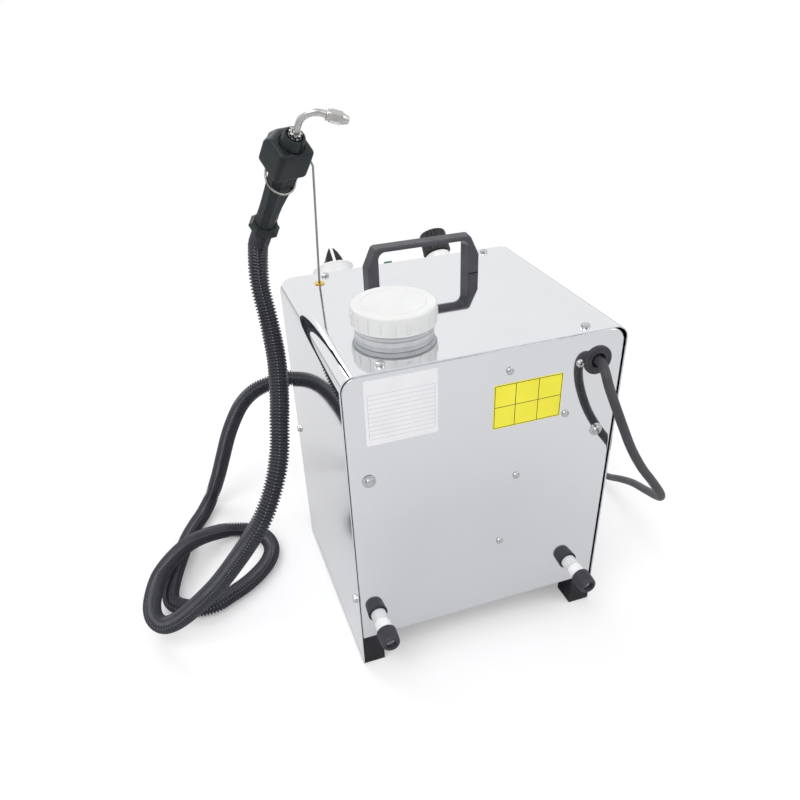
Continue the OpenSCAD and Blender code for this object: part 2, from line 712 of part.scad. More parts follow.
module post_caps() {
  color([0.1, 0.1, 0.11]) placed() for (x = post_xs) on_rear(x, post_z) difference() {
    union() {
      translate([0, 0, post_sleeve_l]) cylinder(r1 = post_cap_r, r2 = post_tip_r, h = post_cap_l - 2);
      translate([0, 0, post_end - 2]) cylinder(r1 = post_tip_r, r2 = post_tip_r - 2, h = 2);
    }
    translate([0, 0, post_sleeve_l - 1]) cylinder(r = post_bolt_r + screw_gap, h = post_cap_l);
    translate([0, 0, post_end - 8]) cylinder(r = 5.5, h = 10);
  }
}
module post_bolts() {
  color("dimgray") placed() for (x = post_xs) on_rear(x, post_z) {
    difference() {
      union() {
        translate([0, 0, -sheet - 8]) cylinder(r = post_bolt_r, h = post_end + sheet + 0.5);
        translate([0, 0, post_end - 8]) cylinder(r = 5, h = 4);
      }
      translate([0, 0, post_end - 6.5]) cylinder(r = 2.9, h = 4, $fn = 6);
    }
    translate([0, 0, -sheet - 5]) hex_nut(10, 5, post_bolt_r + run_gap);
  }
}
module holder_bush() {
  color("goldenrod") placed() translate([bush_x, bush_y, cabinet_h]) {
    difference() {
      union() {
        cylinder(r = bush_r, h = bush_h);
        translate([0, 0, -bush_depth]) cylinder(r = bush_hub_r, h = bush_depth + 1);
      }
      translate([0, 0, 1 - bush_depth]) cylinder(r = wire_r + fit_gap, h = bush_depth + bush_h);
    }
    translate([0, 0, -sheet - 4]) hex_nut(13, 4, bush_hub_r + run_gap);
  }
}
ring_at_point = hand_at + hand_axis * ring_rise;
ring_e = hand_v * cos(ring_tilt) + hand_axis * sin(ring_tilt);
function ring_point(a) = ring_at_point + ring_r * (hand_u * cos(a) + ring_e * sin(a));
rod_top = [bush_x - 3.7, bush_y + 4.8, cabinet_h + rod_h];
ring_first = ring_point(ring_start);
ring_tangent = ring_e * cos(ring_start) - hand_u * sin(ring_start);
rod_foot = [bush_x, bush_y, cabinet_h + 1 - bush_depth];
rod_leaves = [bush_x, bush_y, cabinet_h + bush_h];
rod_points = concat(spline([rod_foot, rod_leaves, rod_top - [0, 0, 16],
  rod_top + [0, 0, 0], rod_top + [8, 12, 8], ring_first - ring_tangent * 18,
    ring_first - ring_tangent * 6,
  ring_first], 5),
  [for (i = [1 : 28]) ring_point(ring_start + ring_arc * i / 28)]);
module holder_rod() {
  color("lightgray") placed() bar(rod_points, wire_r, 8);
}
module head_outline() {
  r = 6;
  x = head_w / 2;
  translate([-x + r, -head_near]) square([head_w - 2 * r, head_near + head_far]);
  translate([-x, r - head_near]) square([head_w, head_near + head_far - 2 * r]);
  for (s = [-1, 1], y = [r - head_near, head_far - r]) translate([s * (x - r), y]) circle(r);
}
head_cut = 10;
cavity_x = 12;
cavity_near = -8;
button_flange = 2;
cavity_far = head_far - 4;
cavity_low = head_low + 4;
cavity_top = head_top - 5;
button_z = (cavity_low + cavity_top) / 2;
module handpiece_head() {
  color([0.13, 0.13, 0.14]) placed() on_hand() difference() {
    union() {
      intersection() {
        translate([0, 0, head_low]) linear_extrude(head_h) head_outline();
        along_x(-head_w, head_w) polygon([[-head_near, head_low], [head_far, head_low], [head_far,
          head_top - head_cut],
          [head_far - 6, head_top], [-head_near, head_top]]);
      }
      translate([0, 0, head_top - 1]) cylinder(r = boss_r, h = boss_h + 1);
    }
    translate([0, 0, head_top - 6]) cylinder(r = tube_r + run_gap, h = boss_h + 8);
    box([-cavity_x, cavity_near, cavity_low], [cavity_x, cavity_far, cavity_top]);
    translate([0, cavity_far - 1, button_z]) rotate([-90, 0, 0]) cylinder(r = button_r + run_gap,
      h = head_far);
    translate([0, 0, head_low - 1]) cylinder(r = channel_r, h = 6);
  }
}
module grip_half(s) {
  intersection() {
    difference() {
      translate([0, 0, grip_bottom]) cylinder(r1 = grip_low_r, r2 = grip_top_r, h = grip_l);
      translate([0, 0, grip_bottom - 1]) cylinder(r = channel_r, h = grip_l + 2);
    }
    box([s > 0 ? 0 : -20, -grip_flat, grip_bottom], [s > 0 ? 20 : 0, grip_flat, head_low]);
  }
}
module grip_left() {
  color([0.13, 0.13, 0.14]) placed() on_hand() grip_half(-1);
}
module grip_right() {
  color([0.13, 0.13, 0.14]) placed() on_hand() grip_half(1);
}
module grip_collar() {
  color([0.13, 0.13, 0.14]) placed() on_hand() translate([0, 0, collar_bottom]) difference() {
    union() {
      cylinder(r1 = collar_r - 4, r2 = collar_r, h = 4);
      translate([0, 0, 4]) cylinder(r = collar_r, h = collar_l - 8);
      translate([0, 0, collar_l - 4]) cylinder(r1 = collar_r, r2 = grip_low_r + 1, h = 4);
    }
    translate([0, 0, -1]) cylinder(r = channel_r, h = collar_l + 2);
  }
}
module nozzle_nut() {
  color("lightgray") placed() on_hand() translate([0, 0, boss_top]) hex_nut(nut_af, nut_h,
    tube_r + run_gap);
}
module tube_path(r, more) {
  translate([0, 0, head_top - 4 - more]) cylinder(r = r,
    h = tube_corner - tube_bend - head_top + 4 + more);
  translate([tube_bend, 0, tube_corner - tube_bend]) rotate([90, 0, 0]) rotate([0, 0, 90])
    rotate_extrude(angle = 90) translate([tube_bend, 0]) circle(r);
  translate([tube_bend, 0, tube_corner]) rotate([0, 90, 0])
    cylinder(r = r, h = tip_reach - tip_l + tip_bore_d - tube_bend + more);
}
module nozzle_tube() {
  color("lightgray") placed() on_hand() rotate([0, 0, nozzle_turn]) difference() {
    tube_path(tube_r, 0);
    tube_path(tube_r - tube_wall, 1);
  }
}
module nozzle_tip() {
  color("lightgray") placed() on_hand() rotate([0, 0, nozzle_turn])
    translate([tip_reach - tip_l, 0, tube_corner]) rotate([0, 90, 0]) difference() {
      union() {
        cylinder(r = tip_af / sqrt(3), h = tip_l - 6, $fn = 6);
        translate([0, 0, tip_l - 6.1]) cylinder(r1 = tip_af / 2, r2 = 3.2, h = 6.1);
      }
      translate([0, 0, -1]) cylinder(r = tube_r + run_gap, h = tip_bore_d + 1);
      cylinder(r = tip_hole_r, h = tip_l + 1);
    }
}
module handpiece_button() {
  color([0.2, 0.2, 0.22]) placed() on_hand() translate([0, cavity_far - button_flange - 0.3,
    button_z]) rotate([-90, 0, 0]) {
    cylinder(r = button_r + 1.5, h = button_flange);
    cylinder(r = button_r, h = head_far - cavity_far + button_flange + 0.3 + button_out);
  }
}
module handpiece_switch() {
  color([0.35, 0.35, 0.36]) placed() on_hand() box([-8, cavity_near, button_z - 8],
    [8, cavity_far - button_flange - 0.6 - button_travel, button_z + 8]);
}
module steam_hose() {
  color([0.08, 0.08, 0.1]) placed() ribbed_tube(hose_route, rib_count, hose_r, rib_depth, hose_bore_r, 8);
}
module hose_outlet() {
  color([0.12, 0.12, 0.13]) placed() translate([outlet_x, front_y, outlet_z]) rotate([90, 0,
    0]) difference() {
    union() {
      cylinder(r = outlet_r, h = outlet_l);
      translate([0, 0, -sheet]) cylinder(r = 8, h = sheet + 1);
    }
    translate([0, 0, -sheet - 1]) cylinder(r = channel_r, h = outlet_l + sheet + 2);
  }
}
module water_tank() {
  color([0.75, 0.77, 0.78]) placed() translate([tank_x, tank_y, 0]) difference() {
    union() {
      box([-tank_w / 2, -tank_d / 2, tray_top], [tank_w / 2, tank_d / 2, tank_roof]);
      translate([0, 0, tank_roof - 1]) cylinder(r = neck_r, h = cabinet_h + neck_rise - tank_roof + 1);
    }
    box([tank_wall - tank_w / 2, tank_wall - tank_d / 2, tray_top + tank_wall],
      [tank_w / 2 - tank_wall, tank_d / 2 - tank_wall, tank_roof - tank_wall]);
    translate([0, 0, tank_roof - 2 * tank_wall]) cylinder(r = neck_r - tank_wall, h = 60);
    translate([0, 0, cabinet_h + 5]) difference() {
      cylinder(r = neck_r + 1, h = 2);
      translate([0, 0, -1]) cylinder(r = neck_r - 1, h = 4);
    }
  }
}
module cap_liner() {
  color([0.85, 0.85, 0.85]) placed() translate([tank_x, tank_y, liner_z]) cylinder(r = neck_r - 0.5,
    h = liner_t);
}
module tank_cap() {
  color("white") placed() translate([tank_x, tank_y, 0]) difference() {
    union() {
      translate([0, 0, cabinet_h + cap_low]) cylinder(r = cap_r, h = cap_h);
      difference() {
        translate([0, 0, cap_top - 1]) cylinder(r = 0.75 * cap_r + 0.6, h = 1.5);
        translate([0, 0, cap_top - 2]) cylinder(r = 0.75 * cap_r - 0.6, h = 4);
      }
      translate([0, 0, cap_top - 1]) cylinder(r = 1.6, h = 1.6);
      for (i = [0 : cap_ribs - 1]) rotate([0, 0, 360 * i / cap_ribs])
        box([cap_r - 1, -0.6, cabinet_h + cap_low], [cap_r + 0.6, 0.6, cap_top - (i % 2 == 0 ? 5 : 9)]);
    }
    translate([0, 0, cabinet_h + cap_low - 1])
      cylinder(r = neck_r + cap_gap, h = liner_z + liner_t + liner_gap - cabinet_h - cap_low + 1);
    translate([0, 0, cabinet_h + cap_low + 2]) cylinder(r = neck_r - 6, h = cap_h - 6);
  }
}
module boiler_shell() {
  color("silver") placed() translate([boiler_x, boiler_y, boiler_low]) difference() {
    cylinder(r = boiler_r, h = boiler_h);
    translate([0, 0, -1]) cylinder(r = boiler_r - boiler_wall, h = boiler_h - boiler_wall + 1);
  }
}
module heating_element() {
  color("darkgray") placed() translate([boiler_x, boiler_y, boiler_low - heater_t]) {
    cylinder(r = boiler_r, h = heater_t);
    for (s = [-1, 1]) translate([0, 24 * s, heater_t - 0.5]) {
      for (t = [-1, 1]) translate([14 * t, 0, 0]) cylinder(r = heater_rod_r, h = heater_rod_l);
      translate([0, 0, heater_rod_l]) rotate([90, 0, 0]) rotate_extrude(angle = 180) translate([14,
        0]) circle(heater_rod_r);
    }
  }
}
module boiler_stand() {
  color("silver") placed() translate([boiler_x, boiler_y, tray_top]) difference() {
    cylinder(r = boiler_r - 2, h = stand_h);
    translate([0, 0, -1]) cylinder(r = boiler_r - 6, h = stand_h + 2);
  }
}
module safety_valve() {
  color("goldenrod") placed() translate([boiler_x, boiler_y, boiler_top]) {
    cylinder(r = 10, h = 8, $fn = 6);
    translate([0, 0, 7]) cylinder(r = 7, h = 18);
  }
}
module pressure_switch() {
  color([0.25, 0.25, 0.27]) placed() translate([boiler_x + 34, boiler_y, boiler_top]) {
    cylinder(r = 6, h = 10);
    translate([0, 0, 9]) cylinder(r = 15, h = 20);
  }
}
module water_pump() {
  color([0.3, 0.3, 0.32]) placed() box(pump_at, pump_at + pump_size);
}
module solenoid_valve() {
  color("goldenrod") placed() translate([outlet_x, front_y + sheet, outlet_z]) difference() {
    box([-solenoid_side / 2, 0, -solenoid_side / 2], [solenoid_side / 2, solenoid_d, solenoid_side / 2]);
    translate([0, -1, 0]) rotate([-90, 0, 0]) cylinder(r = channel_r, h = 14);
  }
}
feed_y = pump_at[1] + pump_size[1] / 2;
feed_z = tray_top + 14;
module feed_pipe() {
  color([0.8, 0.82, 0.84]) placed() translate([pump_at[0] + pump_size[0], feed_y, feed_z]) rotate([0,
    90, 0])
    cylinder(r = feed_r, h = tank_x - tank_w / 2 - pump_at[0] - pump_size[0]);
}
pump_x = pump_at[0] + pump_size[0] / 2;
pump_pipe_y = boiler_y + 30;
module pump_pipe() {
  color("peru") placed() bar(even_points(spline([[pump_x, feed_y, pump_at[2] + pump_size[2]],
    [pump_x, feed_y, pump_at[2] + pump_size[2] + 12], [pump_x, feed_y, boiler_top - 30], [pump_x,
      feed_y - 6, boiler_top + 8],
    [pump_x, feed_y - 24, boiler_top + 22], [pump_x, pump_pipe_y + 20, boiler_top + 22], [pump_x,
      pump_pipe_y, boiler_top + 12],
    [pump_x, pump_pipe_y, boiler_top]], 6), 30), pipe_r, 8);
}
valve_foot = [knob_x, console_y - knob_s * slope_y + (console_wall + valve_d) * slope_z,
  console_z - knob_s * slope_z - (console_wall + valve_d) * slope_y];
valve_out = [0, slope_z, -slope_y];
valve_port = 6;
module steam_pipe() {
  port = valve_foot - [valve_port, 0, 0];
  color("peru") placed() bar(even_points(spline([port, port + valve_out * 12,
    [boiler_x + 1, boiler_y - 74, boiler_top + 34], [boiler_x, boiler_y - 52, boiler_top + 27],
    [boiler_x, boiler_y - 42, boiler_top + 12], [boiler_x, boiler_y - 42, boiler_top]], 6), 26),
      pipe_r, 8);
}
solenoid_top = [outlet_x, front_y + sheet + solenoid_d - 12, outlet_z + solenoid_side / 2];
module outlet_pipe() {
  port = valve_foot + [valve_port, 0, 0];
  color("peru") placed() bar(even_points(spline([port, port + valve_out * 12, port + [4, 24, -20],
    [0, front_y + 26, boiler_top + 28], [50, front_y + 26, boiler_top + 14], solenoid_top + [-8, 0, 44],
    solenoid_top + [0, 0, 12], solenoid_top], 6), 34), pipe_r, 8);
}
module steam_valve() {
  color("goldenrod") placed() on_slope(knob_x, knob_s) difference() {
    union() {
      box([-valve_side / 2, -valve_side / 2, -console_wall - valve_d], [valve_side / 2, valve_side / 2,
        -console_wall]);
      translate([0, 0, -console_wall - 1]) cylinder(r = spindle_r + 1.8, h = console_wall + 4);
    }
    translate([0, 0, -console_wall - 12]) cylinder(r = spindle_r + run_gap, h = 40);
  }
}
module knob_collar() {
  color("white") placed() on_slope(knob_x, knob_s) difference() {
    cylinder(r = knob_collar_r, h = knob_collar_h);
    translate([0, 0, -1]) cylinder(r = spindle_r + 2, h = 3 + 1.2);
    cylinder(r = spindle_r + 0.5, h = knob_collar_h + 1);
  }
}
module steam_knob() {
  color([0.07, 0.07, 0.08]) placed() on_slope(knob_x, knob_s) {
    difference() {
      translate([0, 0, knob_collar_h + knob_gap]) cylinder(r1 = knob_r, r2 = knob_r - 1, h = knob_l);
      for (i = [0 : knob_flutes - 1]) rotate([0, 0, 360 * i / knob_flutes])
        translate([knob_r + 1.2, 0, knob_collar_h + knob_gap + 4]) cylinder(r = 2.6, h = knob_l);
    }
    translate([0, 0, -console_wall - 10]) cylinder(r = spindle_r,
      h = knob_collar_h + knob_gap + console_wall + 11);
  }
}
module selector_switch() {
  color([0.25, 0.25, 0.27]) placed() on_slope(selector_x, selector_s) difference() {
    box([-selector_side / 2, -selector_side / 2, -console_wall - selector_d], [selector_side / 2,
      selector_side / 2, -console_wall]);
    translate([0, 0, -console_wall - 12]) cylinder(r = spindle_r + run_gap, h = 20);
  }
}
module selector_skirt() {
  color("white") placed() on_slope(selector_x, selector_s) {
    translate([0, 0, skirt_h - skirt_t]) cylinder(r = skirt_r, h = skirt_t);
    translate([0, 0, 1.5]) cylinder(r1 = skirt_r - 4, r2 = skirt_r - 0.5, h = skirt_h - skirt_t - 1);
    translate([0, 0, -console_wall - 10]) cylinder(r = spindle_r,
      h = console_wall + 10 + skirt_h - skirt_t + 0.5);
  }
}
module selector_grip() {
  color([0.07, 0.07, 0.08]) placed() on_slope(selector_x, selector_s) difference() {
    intersection() {
      along_y(5 - skirt_r, skirt_r - 5) translate([0, skirt_h]) let (w = grip_bar_w / 2, h = grip_bar_h)
        polygon([[-w, 0], [w, 0], [0.92 * w, 0.3 * h], [0.7 * w, 0.62 * h], [0.25 * w, h], [-0.25 * w, h],
          [-0.7 * w, 0.62 * h], [-0.92 * w, 0.3 * h]]);
      along_x(-grip_bar_w, grip_bar_w) let (e = skirt_r - 5, t = skirt_h + grip_bar_h)
        polygon([[-e, skirt_h], [e, skirt_h], [e - 4, t], [4 - e, t]]);
    }
    box([-1.5, -skirt_r, skirt_h + grip_bar_h - 1], [1.5, skirt_r, skirt_h + grip_bar_h + 1]);
  }
}
module rocker_bezel() {
  color([0.08, 0.08, 0.09]) placed() on_slope(rocker_x, rocker_s) difference() {
    union() {
      box([-rocker_w / 2 - 1 - bezel_rim, -rocker_l / 2 - 1 - bezel_rim, 0],
        [rocker_w / 2 + 1 + bezel_rim, rocker_l / 2 + 1 + bezel_rim, bezel_t]);
      box([-rocker_w / 2 - 1.4, -rocker_l / 2 - 1.4, -rocker_d], [rocker_w / 2 + 1.4,
        rocker_l / 2 + 1.4, 0.5]);
    }
    box([-rocker_w / 2 - 0.4, -rocker_l / 2 - 0.4, 1.5 - rocker_d], [rocker_w / 2 + 0.4,
      rocker_l / 2 + 0.4, bezel_t + 1]);
    translate([-rocker_w, 0, 0]) rotate([0, 90, 0]) cylinder(r = rocker_pin_r + run_gap,
      h = 2 * rocker_w);
  }
}
module rocker() {
  color([0.1, 0.6, 0.25]) placed() on_slope(rocker_x, rocker_s) {
    along_x(-rocker_w / 2, rocker_w / 2) polygon([[-rocker_l / 2 + 0.6, -2], [0, -4],
      [rocker_l / 2 - 0.6, 1], [rocker_l / 2 - 1.2, 6],
      [0, 3.5], [-rocker_l / 2 + 0.6, 2.6]]);
    translate([-rocker_w / 2 - 0.9, 0, 0]) rotate([0, 90, 0]) cylinder(r = rocker_pin_r,
      h = rocker_w + 1.8);
  }
}
board_gap = 10;
module control_board() {
  color("darkgreen") placed() {
    box([-92, rear_y - sheet - board_gap - 1.6, cabinet_h - 96], [-12, rear_y - sheet - board_gap,
      cabinet_h - 18]);
    for (i = [0, 1]) translate([panel_screw_at[i][0], rear_y - sheet,
      panel_screw_at[i][1]]) rotate([90, 0, 0]) difference() {
      cylinder(r = 4, h = board_gap + 0.2);
      translate([0, 0, -1]) cylinder(r = screw_r + run_gap, h = 9);
    }
  }
}

base_tray();
main_cover();
rear_panel();
front_panel();
control_console();
feet();
foot_screws();
carry_handle();
handle_screws();
cover_screws();
panel_screws();
washer_screws();
yellow_plate();
white_plate();
cord_gland();
mains_cord();
mains_coil();
mains_plug();
plug_pins();
post_sleeves();
post_caps();
post_bolts();
holder_bush();
holder_rod();
handpiece_head();
grip_left();
grip_right();
grip_collar();
nozzle_nut();
nozzle_tube();
nozzle_tip();
handpiece_button();
handpiece_switch();
steam_hose();
hose_outlet();
water_tank();
cap_liner();
tank_cap();
boiler_shell();
heating_element();
boiler_stand();
safety_valve();
pressure_switch();
water_pump();
solenoid_valve();
feed_pipe();
pump_pipe();
steam_pipe();
outlet_pipe();
steam_valve();
knob_collar();
steam_knob();
selector_switch();
selector_skirt();
selector_grip();
rocker_bezel();
rocker();
control_board();
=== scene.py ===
"""Bench-top dry steam cleaner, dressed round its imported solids.

Lengths are millimetres in the cabinet's own frame: floor at z = 0, rear at +Y, hose side at +X.
"""
import logging
import math
from dataclasses import dataclass, field
from enum import Enum
from typing import Any, Iterable, Sequence

import bmesh
import bpy
from mathutils import Matrix, Vector, geometry


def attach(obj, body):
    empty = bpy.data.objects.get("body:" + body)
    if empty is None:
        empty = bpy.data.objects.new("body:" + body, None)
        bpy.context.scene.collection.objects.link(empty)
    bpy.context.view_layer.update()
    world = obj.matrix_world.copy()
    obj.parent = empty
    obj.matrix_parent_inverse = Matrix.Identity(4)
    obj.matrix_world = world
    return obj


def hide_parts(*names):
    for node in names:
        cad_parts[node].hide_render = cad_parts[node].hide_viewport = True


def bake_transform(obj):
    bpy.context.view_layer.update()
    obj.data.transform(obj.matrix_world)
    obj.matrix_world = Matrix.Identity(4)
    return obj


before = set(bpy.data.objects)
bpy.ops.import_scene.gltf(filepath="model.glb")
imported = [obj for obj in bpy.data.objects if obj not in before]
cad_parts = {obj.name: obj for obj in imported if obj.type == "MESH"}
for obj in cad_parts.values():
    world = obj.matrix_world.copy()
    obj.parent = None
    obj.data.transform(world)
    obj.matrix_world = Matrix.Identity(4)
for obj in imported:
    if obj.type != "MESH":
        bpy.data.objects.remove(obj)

LOG = logging.getLogger("steam_cleaner")
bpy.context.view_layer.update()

MM = 0.001
# From the cabinet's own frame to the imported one, in mm.
SHIFT = Vector((-14.6, 21.35, 0.0))
# Room in mm beside a rounded corner, which keeps the flat next to it flat.
GUARD = 1.0
# Size of a gloss smear against a colour patch.
SMEAR = 0.6
# Height of the cover's top in mm.
DECK = 368.0
# Outer face of the rear panel in mm from the middle.
PANEL = 126.5
# Middle of the cord's way through the rear panel, sideways and up, in mm.
GLAND = (-114.6, 335.0)
# Middle of the tank's neck in mm.
NECK = (68.5, 53.5)
# Turns a profile's plane so that its thickness runs along x.
SIDEWAYS = Matrix(((0, 0, 1), (1, 0, 0), (0, 1, 0))).to_4x4()
Flat = tuple[float, float]
Spot = tuple[float, float, float]


def row(point: Sequence[float]) -> Vector:
    """Turns a point of the cabinet's frame, in mm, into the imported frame, in metres.

    Args:
        point: Three lengths in mm.

    Returns:
        The same point in metres.
    """
    return (Vector(point) + SHIFT) * MM


def linear(colour: str) -> tuple[float, float, float, float]:
    """Turns an sRGB hex colour into linear light.

    Args:
        colour: Six hex digits after a hash.

    Returns:
        Red, green, blue and full alpha.
    """
    parts = [int(colour[i:i + 2], 16) / 255 for i in (1, 3, 5)]
    light = [p / 12.92 if p <= 0.04045 else ((p + 0.055) / 1.055) ** 2.4 for p in parts]
    return (*light, 1.0)


def add(tree: bpy.types.NodeTree, kind: str, links: dict[Any, Any] | None = None,
        **settings: Any) -> bpy.types.Node:
    """Adds one node to a tree.

    Args:
        tree: Tree that takes the node.
        kind: Blender's name of the node type.
        links: Input name or index, with the socket or constant it takes.
        settings: Attributes of the node.

    Returns:
        The new node.
    """
    node = tree.nodes.new(kind)
    for name, value in settings.items():
        setattr(node, name, value)
    for key, value in (links or {}).items():
        if isinstance(value, bpy.types.NodeSocket):
            tree.links.new(value, node.inputs[key])
        else:
            node.inputs[key].default_value = value
    return node


def link(name: str, data: bpy.types.ID) -> bpy.types.Object:
    """Makes an object of its data and links it to the scene.

    Args:
        name: Name of the object.
        data: Mesh, curve, lamp or camera.

    Returns:
        The object, at the origin.
    """
    thing = bpy.data.objects.new(name, data)
    bpy.context.scene.collection.objects.link(thing)
    return thing


# ---------------------------------------------------------------- finishes


class Relief(Enum):
    """How a surface was made; the numbers stretch its fine pattern along x, y and z."""

    ROLLED = (0.06, 1.0, 1.0)
    DRAWN = (1.0, 1.0, 0.08)
    SPARK = (1.0, 1.0, 1.0)
    TURNED = (1.0, 0.15, 1.0)


@dataclass(frozen=True)
class Finish:
    """One real material with its colour patches, gloss and fine relief; grain too fine to show is drawn coarser."""

    name: str
    colour: str
    second: str
    roughness: float
    swing: float = 0.08
    metallic: float = 0.0
    ior: float = 1.5
    patch_mm: float = 30.0
    relief: Relief = Relief.SPARK
    grain_mm: float = 0.7
    relief_mm: float = 0.02
    sheen: float = 0.0
    subsurface: float = 0.0
    specular: float = 0.5

    def colour_socket(self, tree: bpy.types.NodeTree, spot: bpy.types.NodeSocket) -> bpy.types.NodeSocket:
        """Mixes the two tones in soft patches.

        Args:
            tree: The material's tree.
            spot: Object coordinates.

        Returns:
            The colour output.
        """
        patch = add(tree, "ShaderNodeTexNoise", {"Vector": spot, "Scale": 1 / (self.patch_mm * MM), "Detail": 5.0})
        share = add(tree, "ShaderNodeMapRange", {"Value": patch.outputs[0], "From Min": 0.35, "From Max": 0.7})
        return add(tree, "ShaderNodeMix", {0: share.outputs[0], 6: linear(self.colour), 7: linear(self.second)},
                   data_type="RGBA").outputs[2]

    def make(self) -> bpy.types.Material:
        """Builds the node material.

        Returns:
            The material.
        """
        material = bpy.data.materials.new(self.name)
        material.use_nodes = True
        tree = material.node_tree
        shader = tree.nodes["Principled BSDF"]
        spot = add(tree, "ShaderNodeTexCoord").outputs["Object"]
        lay = add(tree, "ShaderNodeMapping", {"Vector": spot, "Scale": self.relief.value}).outputs[0]
        tree.links.new(self.colour_socket(tree, spot), shader.inputs["Base Color"])
        smear = add(tree, "ShaderNodeTexNoise", {
            "Vector": lay, "Scale": 1 / (self.patch_mm * SMEAR * MM), "Detail": 6.0})
        gloss = add(tree, "ShaderNodeMapRange", {
            "Value": smear.outputs[0], "From Min": 0.3, "From Max": 0.7,
            "To Min": max(0.02, self.roughness - self.swing / 2), "To Max": self.roughness + self.swing / 2})
        tree.links.new(gloss.outputs[0], shader.inputs["Roughness"])
        if self.relief_mm > 0:
            grain = add(tree, "ShaderNodeTexNoise", {"Vector": lay, "Scale": 1 / (self.grain_mm * MM), "Detail": 3.0})
            bump = add(tree, "ShaderNodeBump", {
                "Height": grain.outputs[0], "Strength": 0.5, "Distance": self.relief_mm * MM})
            tree.links.new(bump.outputs[0], shader.inputs["Normal"])
        for socket, value in (("Metallic", self.metallic), ("IOR", self.ior), ("Sheen Weight", self.sheen),
                              ("Subsurface Weight", self.subsurface), ("Specular IOR Level", self.specular)):
            shader.inputs[socket].default_value = value
        shader.inputs["Subsurface Scale"].default_value = 2 * MM
        return material


@dataclass(frozen=True)
class LinedFilm(Finish):
    """Printed film: plain ground with straight ruled lines."""

    ink: str = "#202022"
    line_mm: float = 0.5
    columns: tuple[float, ...] = ()
    rows: tuple[float, ...] = ()
    span_x: Flat = (0.0, 0.0)
    span_z: Flat = (0.0, 0.0)

    def _lines(self, tree: bpy.types.NodeTree, along: bpy.types.NodeSocket, across: bpy.types.NodeSocket,
               places: Iterable[float], span: Flat) -> list[bpy.types.NodeSocket]:
        """Masks straight lines, each cut off at the ends of a span.

        Args:
            tree: The material's tree.
            along: Coordinate along the lines.
            across: Coordinate across them.
            places: Where the lines lie across, in metres.
            span: First and last place along, in metres.

        Returns:
            One mask for each line.
        """
        inside = add(tree, "ShaderNodeMath", {0: along, 1: sum(span) / 2, 2: (span[1] - span[0]) / 2},
                     operation="COMPARE").outputs[0]
        masks = []
        for place in places:
            line = add(tree, "ShaderNodeMath", {0: across, 1: place, 2: self.line_mm * MM / 2}, operation="COMPARE")
            both = add(tree, "ShaderNodeMath", {0: line.outputs[0], 1: inside}, operation="MULTIPLY")
            masks.append(both.outputs[0])
        return masks

    def colour_socket(self, tree: bpy.types.NodeTree, spot: bpy.types.NodeSocket) -> bpy.types.NodeSocket:
        """Lays the ruled lines over the plain ground.

        Args:
            tree: The material's tree.
            spot: Object coordinates.

        Returns:
            The colour output.
        """
        ground = super().colour_socket(tree, spot)
        apart = add(tree, "ShaderNodeSeparateXYZ", {"Vector": spot})
        x, z = apart.outputs[0], apart.outputs[2]
        columns, span_x = (tuple((v + SHIFT.x) * MM for v in values) for values in (self.columns, self.span_x))
        rows, span_z = (tuple((v + SHIFT.z) * MM for v in values) for values in (self.rows, self.span_z))
        masks = self._lines(tree, z, x, columns, span_z) + self._lines(tree, x, z, rows, span_x)
        total = masks[0]
        for mask in masks[1:]:
            total = add(tree, "ShaderNodeMath", {0: total, 1: mask}, operation="MAXIMUM").outputs[0]
        return add(tree, "ShaderNodeMix", {0: total, 6: ground, 7: linear(self.ink)}, data_type="RGBA").outputs[2]


# Mirror sheet: rolled, ground and buffed, so it shows its surroundings with a faint roll direction.
MIRROR = Finish("mirror_polished_stainless", "#E6E7EA", "#E1E2E5", 0.05, 0.03, 1.0, patch_mm=220,
                relief=Relief.ROLLED, grain_mm=90, relief_mm=0.05)
# Plain cold-rolled sheet: satin, with grain along the roll.
SHEET = Finish("cold_rolled_steel", "#B9BBBD", "#A9ABAE", 0.32, 0.12, 1.0, patch_mm=40, relief=Relief.ROLLED,
               grain_mm=0.5, relief_mm=0.01)
# Zinc-plated screw: bright with small dull patches.
ZINC = Finish("zinc_plated_steel", "#C9CACC", "#B4B6B8", 0.2, 0.12, 1.0, patch_mm=3, grain_mm=0.4, relief_mm=0.01)
# Chrome plate on the nut, tip and pins: clear reflections.
CHROME = Finish("chrome_plate", "#C4C4C3", "#B2B2B1", 0.16, 0.06, 1.0, patch_mm=6, grain_mm=0.8, relief_mm=0.0)
# Drawn steel wire of the holder: dull grey along its length.
WIRE = Finish("drawn_steel_wire", "#A09F9C", "#8B8A87", 0.26, 0.1, 1.0, patch_mm=6, relief=Relief.DRAWN,
              grain_mm=0.5, relief_mm=0.0)
# Drawn stainless tube: satin along its length.
TUBE = Finish("drawn_stainless_tube", "#C2C1BF", "#AEADAB", 0.26, 0.08, 1.0, patch_mm=5, relief=Relief.DRAWN,
              grain_mm=0.5, relief_mm=0.0)
# Turned brass: warm, with fine lathe lines.
BRASS = Finish("turned_brass", "#E8CB78", "#D6B258", 0.2, 0.1, 1.0, patch_mm=4, relief=Relief.TURNED,
               grain_mm=0.4, relief_mm=0.01)
# Drawn copper of the inner pipes: warm red, dulled in patches.
COPPER = Finish("drawn_copper", "#C98A63", "#B0714B", 0.28, 0.12, 1.0, patch_mm=9, grain_mm=0.6, relief_mm=0.008)
# Glass-filled nylon of the handle: dark grey, matt, with a fine moulded grain.
NYLON = Finish("glass_filled_nylon", "#46464C", "#3E3E44", 0.5, 0.12, patch_mm=22, grain_mm=0.8, relief_mm=0.03,
               specular=0.35)
# Grip housing: polyamide with a cool dark tone and spark-eroded grain.
GRIP = Finish("moulded_polyamide", "#22282B", "#1B2022", 0.42, 0.1, patch_mm=16, grain_mm=0.6, relief_mm=0.03,
              specular=0.25)
